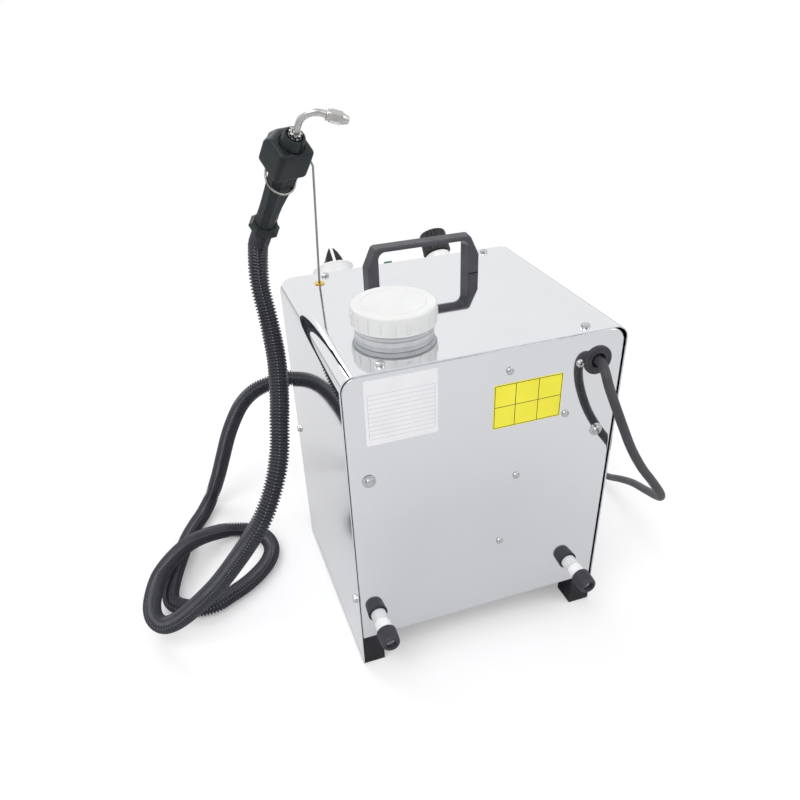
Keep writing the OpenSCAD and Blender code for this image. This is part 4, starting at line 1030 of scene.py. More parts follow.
@dataclass
class SteamHose:
    """Corrugated conduit from the front outlet over the floor to the handpiece."""

    radius: float = 10.9
    pitch: float = 3.43
    depth: float = 3.0
    sides: int = 26
    facing: Vector = field(default_factory=lambda: Vector((0.2, 0.85, 0.5)))
    held: Spot = (184.0, 6.0, 266.0)
    route: tuple[Spot, ...] = (
        (92, -156.5, 200), (92, -176.5, 200), (96, -198, 200), (112, -215, 197), (135, -222, 193), (162, -225, 189),
        (184, -228, 180), (202, -230, 164), (216, -232, 142), (229, -235, 114), (240, -238, 84), (253, -239, 50),
        (268, -232, 22), (284, -210, 11.6), (299, -184, 11.6), (313, -156, 11.6), (328, -114, 11.6), (338, -81, 11.6),
        (343, -56, 11.6), (341, -40, 11.6), (330, -28, 11.6), (312, -19, 11.6), (294, -18, 11.6), (277, -25, 11.6),
        (244, -44, 11.6), (218, -70, 11.6), (207, -97, 11.6), (212, -125, 11.6), (232, -146, 11.6), (258, -152, 15),
        (284, -142, 23), (307, -122, 33), (329, -96, 38), (350, -62, 40), (361, -22, 40), (361, 6, 40), (351, 25, 42),
        (333, 36, 54), (309, 47, 79), (282, 58, 111), (256, 65, 146), (234, 66, 175), (218, 59, 195), (202, 44, 220),
        (191, 25, 242), (184, 6, 266), (178, -12, 286), (172, -38, 315), (171, -62.6, 348), (172.4, -79.6, 386))

    def recipe(self) -> Recipe:
        """Makes the tree that ribs a line: rings at four places in each rib.

        Returns:
            The tree with its inputs.
        """
        recipe = Recipe("ribbed_conduit", {
            "Pitch": self.pitch * MM, "Radius": self.radius * MM, "Depth": self.depth * MM, "Sides": self.sides})
        recipe.input("Material", "NodeSocketMaterial", Palette.get(CONDUIT))
        tree = recipe.tree
        long = add(tree, "GeometryNodeCurveLength", {"Curve": recipe["Geometry"]})
        ribs = add(tree, "ShaderNodeMath", {0: long.outputs[0], 1: recipe["Pitch"]}, operation="DIVIDE")
        rings = add(tree, "ShaderNodeMath", {0: ribs.outputs[0], 1: 4.0}, operation="MULTIPLY")
        line = add(tree, "GeometryNodeResampleCurve", {"Curve": recipe["Geometry"], "Count": rings.outputs[0]})
        index = add(tree, "GeometryNodeInputIndex")
        phase = add(tree, "ShaderNodeMath", {0: index.outputs[0], 1: math.pi / 2, 2: math.pi / 4},
                    operation="MULTIPLY_ADD")
        wave = add(tree, "ShaderNodeMath", {0: phase.outputs[0]}, operation="COSINE")
        drop = add(tree, "ShaderNodeMath", {0: wave.outputs[0], 1: -0.5, 2: 0.5}, operation="MULTIPLY_ADD")
        drop = add(tree, "ShaderNodeMath", {0: drop.outputs[0], 1: recipe["Depth"]}, operation="MULTIPLY")
        reach = add(tree, "ShaderNodeMath", {0: recipe["Radius"], 1: drop.outputs[0]}, operation="SUBTRACT")
        circle = add(tree, "GeometryNodeCurvePrimitiveCircle", {"Resolution": recipe["Sides"], "Radius": 1.0})
        skin = add(tree, "GeometryNodeCurveToMesh", {
            "Curve": line.outputs[0], "Profile Curve": circle.outputs[0], "Scale": reach.outputs[0],
            "Fill Caps": True})
        soft = add(tree, "GeometryNodeSetShadeSmooth", {"Geometry": skin.outputs[0]})
        recipe.end(soft.outputs[0])
        return recipe

    def teeth(self, points: Sequence[Vector]) -> bpy.types.Object:
        """Sets a small block at each rib's end in a line on the hose's rear upper side, coloured pale as a painted
        highlight.

        Args:
            points: The hose's centre line.

        Returns:
            The piece.
        """
        seats, gone = [], 0.0
        for here, ahead in zip(points, points[1:]):
            step = (ahead - here).length
            way = (ahead - here).normalized()
            up = (self.facing - way * way.dot(self.facing)).normalized()
            while gone < step:
                side = way.cross(up)
                seats.append((here + way * gone + up * (self.radius - 0.7) + side * 1.1, up))
                gone += self.pitch
            gone -= step
        tooth = Shape().slab(round_box((-0.5, -0.5), (0.5, 0.5), 0.3, 2), -1.0, 0.5, 0.15, steps=1)
        # The blocks carry a painted highlight: their pale colour stands in for the light on each rib.
        piece = scatter("conduit_teeth", tooth, seats[4:-4], RIB_END_HIGHLIGHT)
        return piece

    def build(self, end: Vector, axis: Vector) -> None:
        """Makes the hose, its upper end set where the handpiece's collar is.

        Args:
            end: Where the hose meets the grip's collar.
            axis: The handpiece's direction.
        """
        points = smooth_path([*self.route, end - axis * 2 * self.radius, end], 12)
        hose = self.recipe().apply(poly_curve("ribbed_hose", points))
        hose.data.materials.clear()
        hose.data.materials.append(Palette.get(CONDUIT))
        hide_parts("steam_hose")
        teeth = self.teeth(points)
        for soft in (hose, teeth):
            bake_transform(soft)
        LOG.info("ribbed_hose: %d faces, %.3f m", len(hose.data.polygons), path_length(points) * MM)


# ---------------------------------------------------------------- cabinet


def pan_head(radius: float = 3.8, height: float = 2.2) -> Shape:
    """Gives a pan-head screw with a cross, facing +Z, its seat at z = 0.

    Args:
        radius: Radius of the head.
        height: Height of the head.

    Returns:
        The screw.
    """
    head = Shape().lathe([(0, -3), (2, -3), (2, 0), (radius, 0), (radius, 0.55 * height),
                          (0.9 * radius, 0.85 * height), (0.66 * radius, height), (0, height)], 28)
    arm, half = 2.1, 0.42
    cross = [(-arm, -half), (-half, -half), (-half, -arm), (half, -arm), (half, -half), (arm, -half),
             (arm, half), (half, half), (half, arm), (-half, arm), (-half, half), (-arm, half)]
    return head.slab(cross, height - 1.0, height + 0.02, 0.0, steps=1)


@dataclass
class Cabinet:
    """Sheet-metal body: folded cover, two end pans, tray, feet and screws."""

    width: float = 290.0
    depth: float = 256.0
    height: float = DECK
    sheet: float = 1.2
    bend: float = 15.0
    lift: float = 2.0
    panel_y: float = PANEL
    foot_height: float = 40.0
    foot_width: float = 24.0
    foot_length: float = 28.0
    flange: float = 20.0
    fold: float = 2.2
    gap: float = 0.9
    ease: float = 3.5
    filler_radius: float = 38.5
    gland_radius: float = 10.0
    side_screws: tuple[Flat, ...] = ((1, 95), (-1, 176))
    rear_screws: tuple[Flat, ...] = ((-20, 342), (-84.5, 281), (-34, 218), (-19, 134), (-95.3, 335))
    washer_screw: Flat = (123.4, 253.0)

    def cover(self) -> None:
        """Folds the cover and cuts its filler hole."""
        t = self.sheet
        outer = arch(self.width, self.lift, self.height, self.bend, 28)[1:] + [(-self.width / 2, self.lift)]
        inner = arch(self.width - 2 * t, self.lift, self.height - t, self.bend - t, 28)[1:]
        inner = inner + [(t - self.width / 2, self.lift)]
        shape = Shape(turn(90, "X")).slab(outer + inner[::-1], -self.depth / 2, self.depth / 2, 0.25, steps=2)
        cover = shape.piece("folded_cover", 30)
        r = self.filler_radius
        hole = Shape(Matrix.Translation((*NECK, self.height - 8)))
        cut(cover, hole.lathe([(0, 0), (r, 0), (r, 16), (0, 16)], 96))
        dress(cover, MIRROR, "stainless", "main_cover")

    def pan(self, name: str, side: int, node: str) -> bpy.types.Object:
        """Folds one end pan.

        Args:
            name: Name of the piece.
            side: 1 for the rear, -1 for the front.
            node: The solid that it replaces.

        Returns:
            The piece.
        """
        edge = self.sheet + self.gap
        wide, top, corner = self.width - 2 * edge, self.height - edge, self.bend - edge + self.ease

        def ring(offset: float, y: float) -> list[Spot]:
            """Gives the pan's outline, moved in by an offset, at one depth."""
            return [(x, side * y, z) for x, z in arch(wide - 2 * offset, self.foot_height + offset, top - offset,
                                                      corner - offset)]
        y, f, t = self.panel_y, self.fold, self.sheet
        rings = [ring(f, y - t), ring(t, y - t - 1.2), ring(t, y - self.flange), ring(0, y - self.flange)]
        for k in range(7):
            a = math.radians(15 * k)
            rings.append(ring(f * (1 - math.cos(a)), y - f * (1 - math.sin(a))))
        rings.append(ring(f + GUARD, y))
        return dress(Shape().loft(rings).piece(name, 30), MIRROR, "stainless", node)

    def feet(self) -> None:
        """Moulds the four feet."""
        shape = Shape()
        x0 = (self.width - 2.8) / 2 - self.foot_width
        x1 = x0 + self.foot_width
        middle, end = (x0 + x1) / 2, self.panel_y - self.foot_length
        outline = [(x0, self.panel_y), (x0, end), *arc((middle, end), 10, 180, 360, 12), (x1, end),
                   (x1, self.panel_y)]
        for s in (1, -1):
            for t in (1, -1):
                loop = [(s * x, t * y) for x, y in outline]
                shape.slab(loop if s * t > 0 else loop[::-1], 0, self.foot_height - 0.1, 1.4)
        dress(shape.piece("moulded_feet"), FOOT, "black_plastic", "feet")

    def screws(self) -> None:
        """Sets the visible screws."""
        y = self.panel_y - self.flange / 2
        top = [((x, z, self.height), (0, 0, 1)) for x, z in ((103, y), (-103, y), (94, -y), (-103, -y))]
        sides = [((s * self.width / 2, t * y, z), (s, 0, 0)) for s in (-1, 1) for t, z in self.side_screws]
        cover = scatter("cover_screw_heads", pan_head(4.6, 3.0), top + sides, ZINC)
        dress(cover, ZINC, "steel_screws", "cover_screws")
        rear = [((x, self.panel_y, z), (0, 1, 0)) for x, z in self.rear_screws]
        panel = scatter("panel_screw_heads", pan_head(), rear, ZINC)
        dress(panel, ZINC, "steel_screws", "panel_screws")
        washered = pan_head(4.2, 2.6)
        for point in washered.points:
            point.z += 1.2
        washered.lathe([(2.1, 0), (6.6, 0), (7, 0.3), (7, 0.9), (6.6, 1.2), (2.1, 1.2)], 40, closed=True)
        x, z = self.washer_screw
        seats = [((s * x, self.panel_y, z), (0, 1, 0)) for s in (-1, 1)]
        dress(scatter("washered_screws", washered, seats, ZINC), ZINC, "steel_screws", "washer_screws")

    def build(self) -> None:
        """Builds the cabinet."""
        self.cover()
        rear = self.pan("rear_pan", 1, "rear_panel")
        r = self.gland_radius
        way = Shape(Matrix.Translation((GLAND[0], self.panel_y + 5, GLAND[1])) @ turn(90, "X"))
        cut(rear, way.lathe([(0, 0), (r, 0), (r, 10), (0, 10)], 48))
        self.pan("front_pan", -1, "front_panel")
        self.feet()
        self.screws()
        coat_nodes(SHEET, "base_tray", "boiler_stand")
        coat_nodes(ZINC, "foot_screws", "handle_screws")


@dataclass
class CarryHandle:
    """One-hand handle: a bar on two legs with sloped shoulders."""

    half: float = 64.6
    flare: float = 1.8
    hollow: float = 52.5
    close: float = 3.5
    height: float = 42.6
    depth: float = 18.0
    bar: float = 5.0
    corner: float = 8.0
    edge: float = 2.2
    x: float = -5.0
    y: float = -66.0
    foot: float = DECK

    def outline(self, share: float) -> list[Flat]:
        """Gives the outline at one depth; the legs widen towards the front.

        Args:
            share: Share of the depth, from the rear.

        Returns:
            Outline points.
        """
        w, h, r = self.half + self.flare * share, self.height, self.corner
        i, top = self.hollow - self.close * share, self.height - self.bar - self.corner
        loop = [(i, 0), (w, 0), (w, h - 22), *arc((w - 13.5, h - 5), 5, 28, 90, 5)]
        loop += [(-x, y) for x, y in reversed(loop)]
        return loop + arc((r - i, top), r, 180, 90, 10) + arc((i - r, top), r, 90, 0, 10)

    def build(self) -> None:
        """Moulds the handle with rounded edges."""
        e = self.edge
        curve = [(e * (1 - math.sin(a)), e * (1 - math.cos(a))) for a in (math.pi / 10 * k for k in range(6))]
        levels = curve + [(o, self.depth - d) for o, d in reversed(curve)]
        rings = [[(x, y, d - self.depth / 2) for x, y in inset(self.outline(d / self.depth), o)] for o, d in levels]
        seat = Matrix.Translation((self.x, self.y, self.foot)) @ turn(90, "X")
        dress(Shape(seat).loft(rings).piece("arched_handle"), NYLON, "handle_plastic", "carry_handle")


@dataclass
class FillerCap:
    """White screw cap with a ribbed skirt on the tank's neck."""

    at: Flat = NECK
    top: float = 398.0
    low: float = 379.0
    radius: float = 41.2
    neck: float = 38.0
    ribs: int = 20
    rib_tall: float = 13.5
    rib_short: float = 9.0
    rib_width: float = 1.9
    rib_lift: float = 1.2

    def recipe(self) -> Recipe:
        """Makes the tree that sets a ring of upright ribs, every other one short.

        Returns:
            The tree with its inputs.
        """
        recipe = Recipe("skirt_ribs", {
            "Count": self.ribs, "Radius": self.radius * MM, "Tall": self.rib_tall * MM, "Short": self.rib_short * MM,
            "Low": (self.low + self.rib_lift) * MM, "Width": self.rib_width * MM})
        recipe.input("Material", "NodeSocketMaterial", Palette.get(WHITE_PP))
        recipe.input("Centre", "NodeSocketVector", (*row((*self.at, 0))[:2], 0))
        tree = recipe.tree
        ring = add(tree, "GeometryNodeMeshCircle", {"Vertices": recipe["Count"], "Radius": recipe["Radius"]})
        block = add(tree, "GeometryNodeMeshCube", {"Size": (1, 1, 1)})
        index = add(tree, "GeometryNodeInputIndex")
        odd = add(tree, "ShaderNodeMath", {0: index.outputs[0], 1: 2.0}, operation="MODULO")
        step = add(tree, "ShaderNodeMath", {0: recipe["Short"], 1: recipe["Tall"]}, operation="SUBTRACT")
        tall = add(tree, "ShaderNodeMath", {0: odd.outputs[0], 1: step.outputs[0], 2: recipe["Tall"]},
                   operation="MULTIPLY_ADD")
        size = add(tree, "ShaderNodeCombineXYZ", {0: recipe["Width"], 1: recipe["Width"], 2: tall.outputs[0]})
        share = add(tree, "ShaderNodeMath", {0: 2 * math.pi, 1: recipe["Count"]}, operation="DIVIDE")
        angle = add(tree, "ShaderNodeMath", {0: index.outputs[0], 1: share.outputs[0]}, operation="MULTIPLY")
        aim = add(tree, "ShaderNodeCombineXYZ", {2: angle.outputs[0]})
        turned = add(tree, "FunctionNodeEulerToRotation", {0: aim.outputs[0]})
        copies = add(tree, "GeometryNodeInstanceOnPoints", {
            "Points": ring.outputs[0], "Instance": block.outputs[0], "Rotation": turned.outputs[0],
            "Scale": size.outputs[0]})
        real = add(tree, "GeometryNodeRealizeInstances", {"Geometry": copies.outputs[0]})
        middle = add(tree, "ShaderNodeMath", {0: recipe["Tall"], 1: 0.5, 2: recipe["Low"]}, operation="MULTIPLY_ADD")
        lift = add(tree, "ShaderNodeCombineXYZ", {2: middle.outputs[0]})
        moved = add(tree, "ShaderNodeVectorMath", {0: lift.outputs[0], 1: recipe["Centre"]}, operation="ADD")
        placed = add(tree, "GeometryNodeSetPosition", {"Geometry": real.outputs[0], "Offset": moved.outputs[0]})
        both = add(tree, "GeometryNodeJoinGeometry", {0: placed.outputs[0]})
        tree.links.new(recipe["Geometry"], both.inputs[0])
        recipe.end(both.outputs[0])
        return recipe

    def build(self) -> None:
        """Turns the cap and the neck's bead."""
        r, top, low = self.radius, self.top, self.low
        edge = [(r - 2.6 + 2.6 * math.cos(a), top - 2.6 + 2.6 * math.sin(a))
                for a in (math.radians(15 * k) for k in range(7))]
        line = 0.75 * r
        profile = [(0, top - 4), (32, top - 4), (32, low + 6.1), (38.5, low + 6.1), (38.5, low), (r + 0.2, low),
                   (r + 0.4, low + 0.5), (r + 0.2, low + 1.2), (r, low + 1.6), *edge, (r - 4, top), (line + 0.9, top),
                   (line + 0.5, top + 0.6), (line - 0.5, top + 0.6), (line - 0.9, top), (2.2, top), (1.6, top + 0.35),
                   (0.8, top + 0.55), (0, top + 0.6)]
        seat = Matrix.Translation((*self.at, 0))
        cap = Shape(seat).lathe(profile, 96).piece("ribbed_cap", 34)
        cap = self.recipe().apply(cap)
        dress(cap, WHITE_PP, "white_plastic", "tank_cap", body="cap")
        n, z = self.neck, DECK
        bead = [(n - 1, z + 5.2), (n + 0.6, z + 5.6), (n + 1.3, z + 6.6), (n + 1.5, z + 8), (n + 1.5, z + 9.6),
                (n - 1, z + 10)]
        seal = [(n - 1, z + 0.05), (n + 0.5, z + 0.05), (n + 0.5, z + 4.6), (n - 1, z + 4.8)]
        dress(Shape(seat).lathe(bead, 96, True).lathe(seal, 96, True).piece("neck_beads"), NATURAL_PE, "tank_plastic")
        coat_nodes(NATURAL_PE, "water_tank")
        coat_nodes(SEAL, "cap_liner")


@dataclass
class RearFittings:
    """Plates, cord grommet and the two cord posts on the rear panel."""

    face: float = PANEL
    post_xs: tuple[float, float] = (120.0, -120.0)
    post_z: float = 58.0

    def seat(self, x: float, z: float) -> Matrix:
        """Gives a seat on the panel that faces out of it."""
        return Matrix.Translation((x, self.face, z)) @ turn(-90, "X")

    def posts(self) -> None:
        """Turns the sleeves and caps of the posts."""
        parts = {
            "post_rings": ([(3.2, 0.1), (8.6, 0.1), (8.8, 0.4), (8.8, 13.7), (8.5, 14), (3.2, 14)], WHITE_ABS,
                           "white_plastic", "post_sleeves"),
            "post_ends": ([(3.2, 14), (10.4, 14), (11, 14.4), (11.2, 15.2), (11.1, 17), (10.2, 30.5), (9.7, 32.4),
                           (8.6, 33.6), (7.4, 34), (6.2, 33.7), (5.6, 32.8), (5.5, 26.1), (3.2, 26)], RUBBER,
                          "black_plastic", "post_caps"),
        }
        for name, (profile, finish, slot, node) in parts.items():
            shape = Shape()
            for x in self.post_xs:
                shape.at(self.seat(x, self.post_z)).lathe(profile, 48, closed=True)
            dress(shape.piece(name), finish, slot, node)
        coat_nodes(ZINC, "post_bolts")

    def grommet(self) -> None:
        """Turns the grommet round the mains cord."""
        ring = [(7.2, -4), (7.2, 1.5), (7.6, 2.2), (8.4, 2.6), (9.4, 2.6), (10, 2.3), (10.6, 2.2), (11.2, 2.5),
                (13.4, 2.5), (14.4, 2.1), (15, 1.3), (15, 0.1), (9.8, 0.1), (9.8, -4)]
        shape = Shape(self.seat(*GLAND)).lathe(ring, 64, closed=True)
        shape.lathe([(0, -5.5), (9.8, -5.5), (9.8, -4.1), (0, -4.1)], 48)
        dress(shape.piece("cord_grommet"), RUBBER, "black_plastic", "cord_gland")

    def plates(self) -> None:
        """Lays the two thin plates."""
        for name, low, high, finish, slot, node in (
                ("yellow_label", (-78, 280.5), (-4.5, 329), YELLOW_FILM, "yellow_film", "yellow_plate"),
                ("white_label", (52.5, 292.5), (123, 360), WHITE_FILM, "white_film", "white_plate")):
            loop = round_box(low, high, 1.2, 4)
            seat = Matrix.Translation((0, self.face, 0)) @ turn(90, "X")
            dress(Shape(seat).slab(loop, -0.4, -0.02, 0.1, steps=2).piece(name), finish, slot, node)

    def build(self) -> None:
        """Builds the fittings."""
        self.posts()
        self.grommet()
        self.plates()


@dataclass
class Console:
    """Sloped front console with knob, selector and rocker."""

    slope: float = 42.0
    top_y: float = -PANEL
    top_z: float = 366.5
    length: float = 72.0
    face: float = 65.0
    width: float = 236.0
    knob: Flat = (-64.6, 41.6)
    selector: Flat = (70.0, 47.6)
    rocker: Flat = (12.0, 16.0)
    flutes: int = 22
    marks: int = 10
    mark_ring: float = 22.5
    outlet_at: Flat = (92.0, 200.0)

    def seat(self, place: Flat) -> Matrix:
        """Gives a seat on the slope.

        Args:
            place: Sideways place and way down the slope.

        Returns:
            The seat, which faces out of the slope.
        """
        a = math.radians(self.slope)
        spot = (place[0], self.top_y - place[1] * math.cos(a), self.top_z - place[1] * math.sin(a))
        return Matrix.Translation(spot) @ turn(self.slope, "X")

    def housing(self) -> None:
        """Folds the console's housing."""
        a = math.radians(self.slope)
        front, edge = self.top_y - self.length * math.cos(a), self.top_z - self.length * math.sin(a)
        loop = [(self.top_y, self.top_z), (front, edge), (front, edge - self.face), (self.top_y, edge - self.face)]
        housing = Shape(SIDEWAYS).slab(loop, -self.width / 2, self.width / 2, 1.2).piece("console_housing", 30)
        dress(housing, MIRROR, "stainless", "control_console")

    def dial_marks(self) -> None:
        """Sets a ring of plain marks round the knob."""
        seat = self.seat(self.knob)
        mark = Shape().slab(round_box((-0.45, -2.0), (0.45, 2.0), 0.4, 3), 0.0, 0.25, 0.05, steps=1)
        shape = Shape()
        for k in range(self.marks):
            spin = seat @ turn(225 - 30 * k - 90, "Z") @ Matrix.Translation((0, self.mark_ring, 0.02))
            shape.at(spin).take(mark.points, mark.faces)
        dress(shape.piece("dial_marks"), PHENOLIC, "knob_plastic")

    def steam_knob(self) -> None:
        """Moulds the fluted knob, its collar and its white pointer."""
        seat = self.seat(self.knob)

        def ring(radius: float, deep: float, z: float) -> list[Spot]:
            """Gives one fluted ring.

            Args:
                radius: Radius between the flutes.
                deep: Depth of a flute.
                z: Height.

            Returns:
                Points of the ring.
            """
            points = []
            for k in range(self.flutes * 10):
                a = 2 * math.pi * k / (self.flutes * 10)
                hollow = max(0.0, math.cos(self.flutes * a)) ** 1.6
                points.append(((radius - deep * hollow) * math.cos(a), (radius - deep * hollow) * math.sin(a), z))
            return points
        rings = [ring(15.5, 0.0, 21.5), ring(17.0, 0.1, 21.9), ring(17.4, 0.3, 22.6), ring(17.4, 0.8, 24),
                 ring(17.2, 0.9, 26), ring(16.6, 0.9, 45.5), ring(16.3, 0.8, 47.2), ring(15.4, 0.5, 48.2),
                 ring(13.9, 0.2, 48.5)]
        shape = Shape(seat).loft(rings)
        shape.lathe([(0, -12), (3, -12), (3, 21.6), (0, 21.6)], 32)
        dress(shape.piece("fluted_knob"), PHENOLIC, "knob_plastic", "steam_knob", body="steam_dial")
        pointer = Shape(seat).slab(round_box((-0.8, 3), (0.8, 13), 0.6, 3), 48.4, 48.8, 0.1, steps=1)
        dress(pointer.piece("knob_pointer"), WHITE_ABS, "white_plastic", body="steam_dial")
        collar = Shape(seat).lathe([(3.6, 0.05), (13.9, 0.05), (14.5, 0.6), (14.5, 19.8), (13.8, 20.5), (3.6, 20.5)],
                                   48, True)
        dress(collar.piece("knob_ring"), WHITE_ABS, "white_plastic", "knob_collar")

    def steam_selector(self) -> None:
        """Moulds the selector's skirt, grip and white stripe."""
        seat = self.seat(self.selector)
        low, tall = 24.0, 20.0
        skirt = Shape(seat).lathe([(0, -12), (3, -12), (3, 1.5), (21, 1.5), (24.4, low - 2.4), (25, low - 1.9),
                                   (25, low - 0.6), (24.4, low), (0, low)], 72)
        dress(skirt.piece("selector_disc"), WHITE_ABS, "white_plastic", "selector_skirt", body="selector")

        def section(y: float, share: float) -> list[Spot]:
            """Gives the grip's pointed section at one place.

            Args:
                y: Place along the grip.
                share: Share of the height at which it is cut off.

            Returns:
                Points of the section.
            """
            side = [(10 * (1 - 0.77 * (f * share) ** 1.9), low + 0.02 + tall * f * share) for f in
                    (0, 0.12, 0.25, 0.4, 0.55, 0.7, 0.85, 1)]
            return [(x, y, z) for x, z in side] + [(-x, y, z) for x, z in reversed(side)]
        half = ((20.0, 0.06), (19.2, 0.24), (17.4, 0.66), (16.4, 0.9), (15.4, 0.98), (13.8, 1.0))
        stations = [(-y, f) for y, f in half] + [(y, f) for y, f in reversed(half)]
        grip = Shape(seat).loft([section(*s) for s in stations])
        dress(grip.piece("selector_bar", 30), PHENOLIC, "knob_plastic", "selector_grip", body="selector")
        top = [(y, low + tall * f + 0.14) for y, f in stations]
        half, thick = 1.7, 0.5
        stripe = Shape(seat).loft([[(half, y, z), (half, y, z - thick), (-half, y, z - thick), (-half, y, z)]
                                   for y, z in top])
        dress(stripe.piece("selector_stripe"), WHITE_ABS, "white_plastic", body="selector")

    def steam_rocker(self) -> None:
        """Moulds the rocker and its bezel."""
        seat = self.seat(self.rocker)
        low, high = (-5.4, -9.4), (5.4, 9.4)
        bezel = Shape(seat).slab(round_box((-8, -12), (8, 12), 1.5), 0.05, 2, 0.5, [round_box(low, high, 0.5)])
        bezel.slab(round_box((-6.4, -10.4), (6.4, 10.4), 0.5), -13, 0, 0.2, [round_box(low, high, 0.4)])
        dress(bezel.piece("rocker_frame"), PHENOLIC, "black_plastic", "rocker_bezel")
        loop = [(-8.4, -2), (0, -4), (8.4, 1), (7.8, 7.4), (0, 3.9), (-8.4, 2.6)]
        key = Shape(seat @ SIDEWAYS).slab(loop, -5, 5, 0.5).piece("rocker_key_cap")
        dress(key, GREEN_PC, "green_plastic", "rocker", body="rocker_key")

    def outlet(self) -> None:
        """Turns the hose outlet's cuff."""
        x, z = self.outlet_at
        seat = Matrix.Translation((x, self.top_y, z)) @ turn(90, "X")
        profile = [(5, -1), (7.8, -1), (7.8, 0.1), (14.4, 0.1), (15, 0.7), (15, 5)]
        for k in range(5):
            z = 7 + 4 * k
            profile += [(14.2, z), (14.2, z + 1.4), (15, z + 1.8), (15, z + 3.6)]
        profile += [(14.6, 29.4), (13.6, 30), (5, 30)]
        dress(Shape(seat).lathe(profile, 48, True).piece("outlet_cuff"), RUBBER, "black_plastic", "hose_outlet")

    def build(self) -> None:
        """Builds the console and its controls."""
        self.housing()
        self.dial_marks()
        self.steam_knob()
        self.steam_selector()
        self.steam_rocker()
        self.outlet()


@dataclass
class Handpiece:
    """Steam handpiece: head, two grip halves, collar, nozzle and button."""

    at: Spot = (147.0, -30.0, 496.6)
    lean: float = 38.0
    yaw: float = 22.0
    low: float = 14.0
    top: float = 45.5
    near: float = -14.0
    far: float = 24.0
    half: float = 18.0
    grip_low: float = -57.0
    collar_low: float = -69.0
    corner: Flat = (13.0, 8.0)
    nozzle_turn: float = -30.0
    nozzle_bend: float = 15.0
    nozzle_reach: float = 39.0
    tube_radius: float = 3.0
    tip: float = 20.0
    tip_radius: float = 5.7
    body: str = "handpiece"
    seat: Matrix = field(init=False)

    def __post_init__(self) -> None:
        """Works out the seat, whose z axis runs from the hose to the nozzle."""
        self.seat = Matrix.Translation(self.at) @ turn(self.yaw, "Z") @ turn(-self.lean, "X") @ turn(180, "Z")

    @property
    def axis(self) -> Vector:
        """Gives the direction from the hose to the nozzle."""
        return (self.seat.to_3x3() @ Vector((0, 0, 1))).normalized()

    @property
    def hose_end(self) -> Vector:
        """Gives the place where the hose meets the collar."""
        return Vector(self.at) + self.axis * (self.collar_low - 0.3)

    def head(self) -> None:
        """Moulds the head block with its slit boss."""
        near = self.near
        levels = ((0, 3.2, 0), (0.9, 1.5, 0), (2.4, 0.4, 0), (4.2, 0, 0), (22, 0, 0), (24, 0.1, 0.6),
                  (28.6, 0.2, 3.4), (29.9, 0.9, 4.4), (30.9, 2.1, 5.4), (31.5, 3.8, 6.4))
        slope = math.degrees(math.atan2(*self.corner))
        rings = []
        for z, o, cut_far in levels:
            w, back, r = self.half - o, self.far - o - cut_far, 5.0 - 0.4 * o
            loop = arc((r - w, near + o + r), r, 180, 270, 6) + arc((w - r, near + o + r), r, 270, 360, 6)
            loop += arc((w - r, back - r), r, 0, 90, 6)
            loop += arc((self.corner[0] - w + 2, back - 3), 3, 90, 90 + 90 - slope, 4)
            loop += arc((3 - w, back - self.corner[1] - 2), 3, 180 - slope, 180, 4)
            rings.append([(x, y, self.low + z) for x, y in loop])
        head = Shape(self.seat).loft(rings).piece("head_shell", 32)
        t = self.top
        cut(head, Shape(self.seat).lathe([(10.9, t - 1.8), (12.3, t - 1.8), (12.3, t + 1), (10.9, t + 1)], 56, True))
        boss = Shape(self.seat).lathe([(3.4, t - 2), (10.9, t - 2), (10.9, t + 0.2), (10.8, t + 0.8), (10.1, t + 8.6),
                                       (9.7, t + 9.5), (8.9, t + 9.9), (7.8, t + 9.9), (7.4, t + 9.3),
                                       (7.4, t + 6.4), (3.4, t + 6.4)], 56, True).piece("head_boss", 32)
        slit = Shape(self.seat @ turn(8, "Z"))
        cut(boss, slit.slab([(-0.45, -14), (0.45, -14), (0.45, -6), (-0.45, -6)], t + 0.9, t + 13, 0.0, steps=1))
        dress(head, GRIP, "grip_plastic", "handpiece_head", body=self.body)
        dress(boss, GRIP, "grip_plastic", body=self.body)

    def grips(self) -> None:
        """Moulds the two grip halves, eight-sided with a crease between them."""
        stations = ((self.low + 0.5, 12.1, 10.8, 0.85), (self.low - 6, 11.8, 10.6, 0.8), (-8, 11.1, 10.1, 0.66),
                    (-26, 10.5, 9.7, 0.45), (-44, 10.2, 9.6, 0.22), (self.grip_low, 10.4, 9.8, 0.1))
        for side, name, node in ((-1, "grip_half_left", "grip_left"), (1, "grip_half_right", "grip_right")):
            rings = []
            for z, half_x, half_y, share in stations:
                crease = share if side > 0 else 0.5
                loop = [(0.12, -half_y), (half_x * crease, -half_y), (half_x, -half_y * 0.42),
                        (half_x, half_y * 0.42), (half_x * 0.5, half_y), (0.12, half_y)]
                rings.append([(side * x, y, z) for x, y in loop])
            shape = Shape(self.seat).loft(rings)
            dress(shape.piece(name, 24), GRIP, "grip_plastic", node, body=self.body)
        levels = ((self.collar_low, 11.4), (self.collar_low + 2.6, 13), (self.collar_low + 5, 14.6),
                  (self.collar_low + 6.6, 14.6), (self.collar_low + 8, 13), (self.collar_low + 9.6, 11.6),
                  (self.grip_low + 0.8, 11.2))
        rings = [[(r / math.cos(math.pi / 8) * math.cos(math.radians(22.5 + 45 * k)),
                   r / math.cos(math.pi / 8) * math.sin(math.radians(22.5 + 45 * k)), z) for k in range(8)]
                 for z, r in levels]
        collar = Shape(self.seat).loft(rings).piece("flared_collar", 24)
        dress(collar, GRIP, "grip_plastic", "grip_collar", body=self.body)

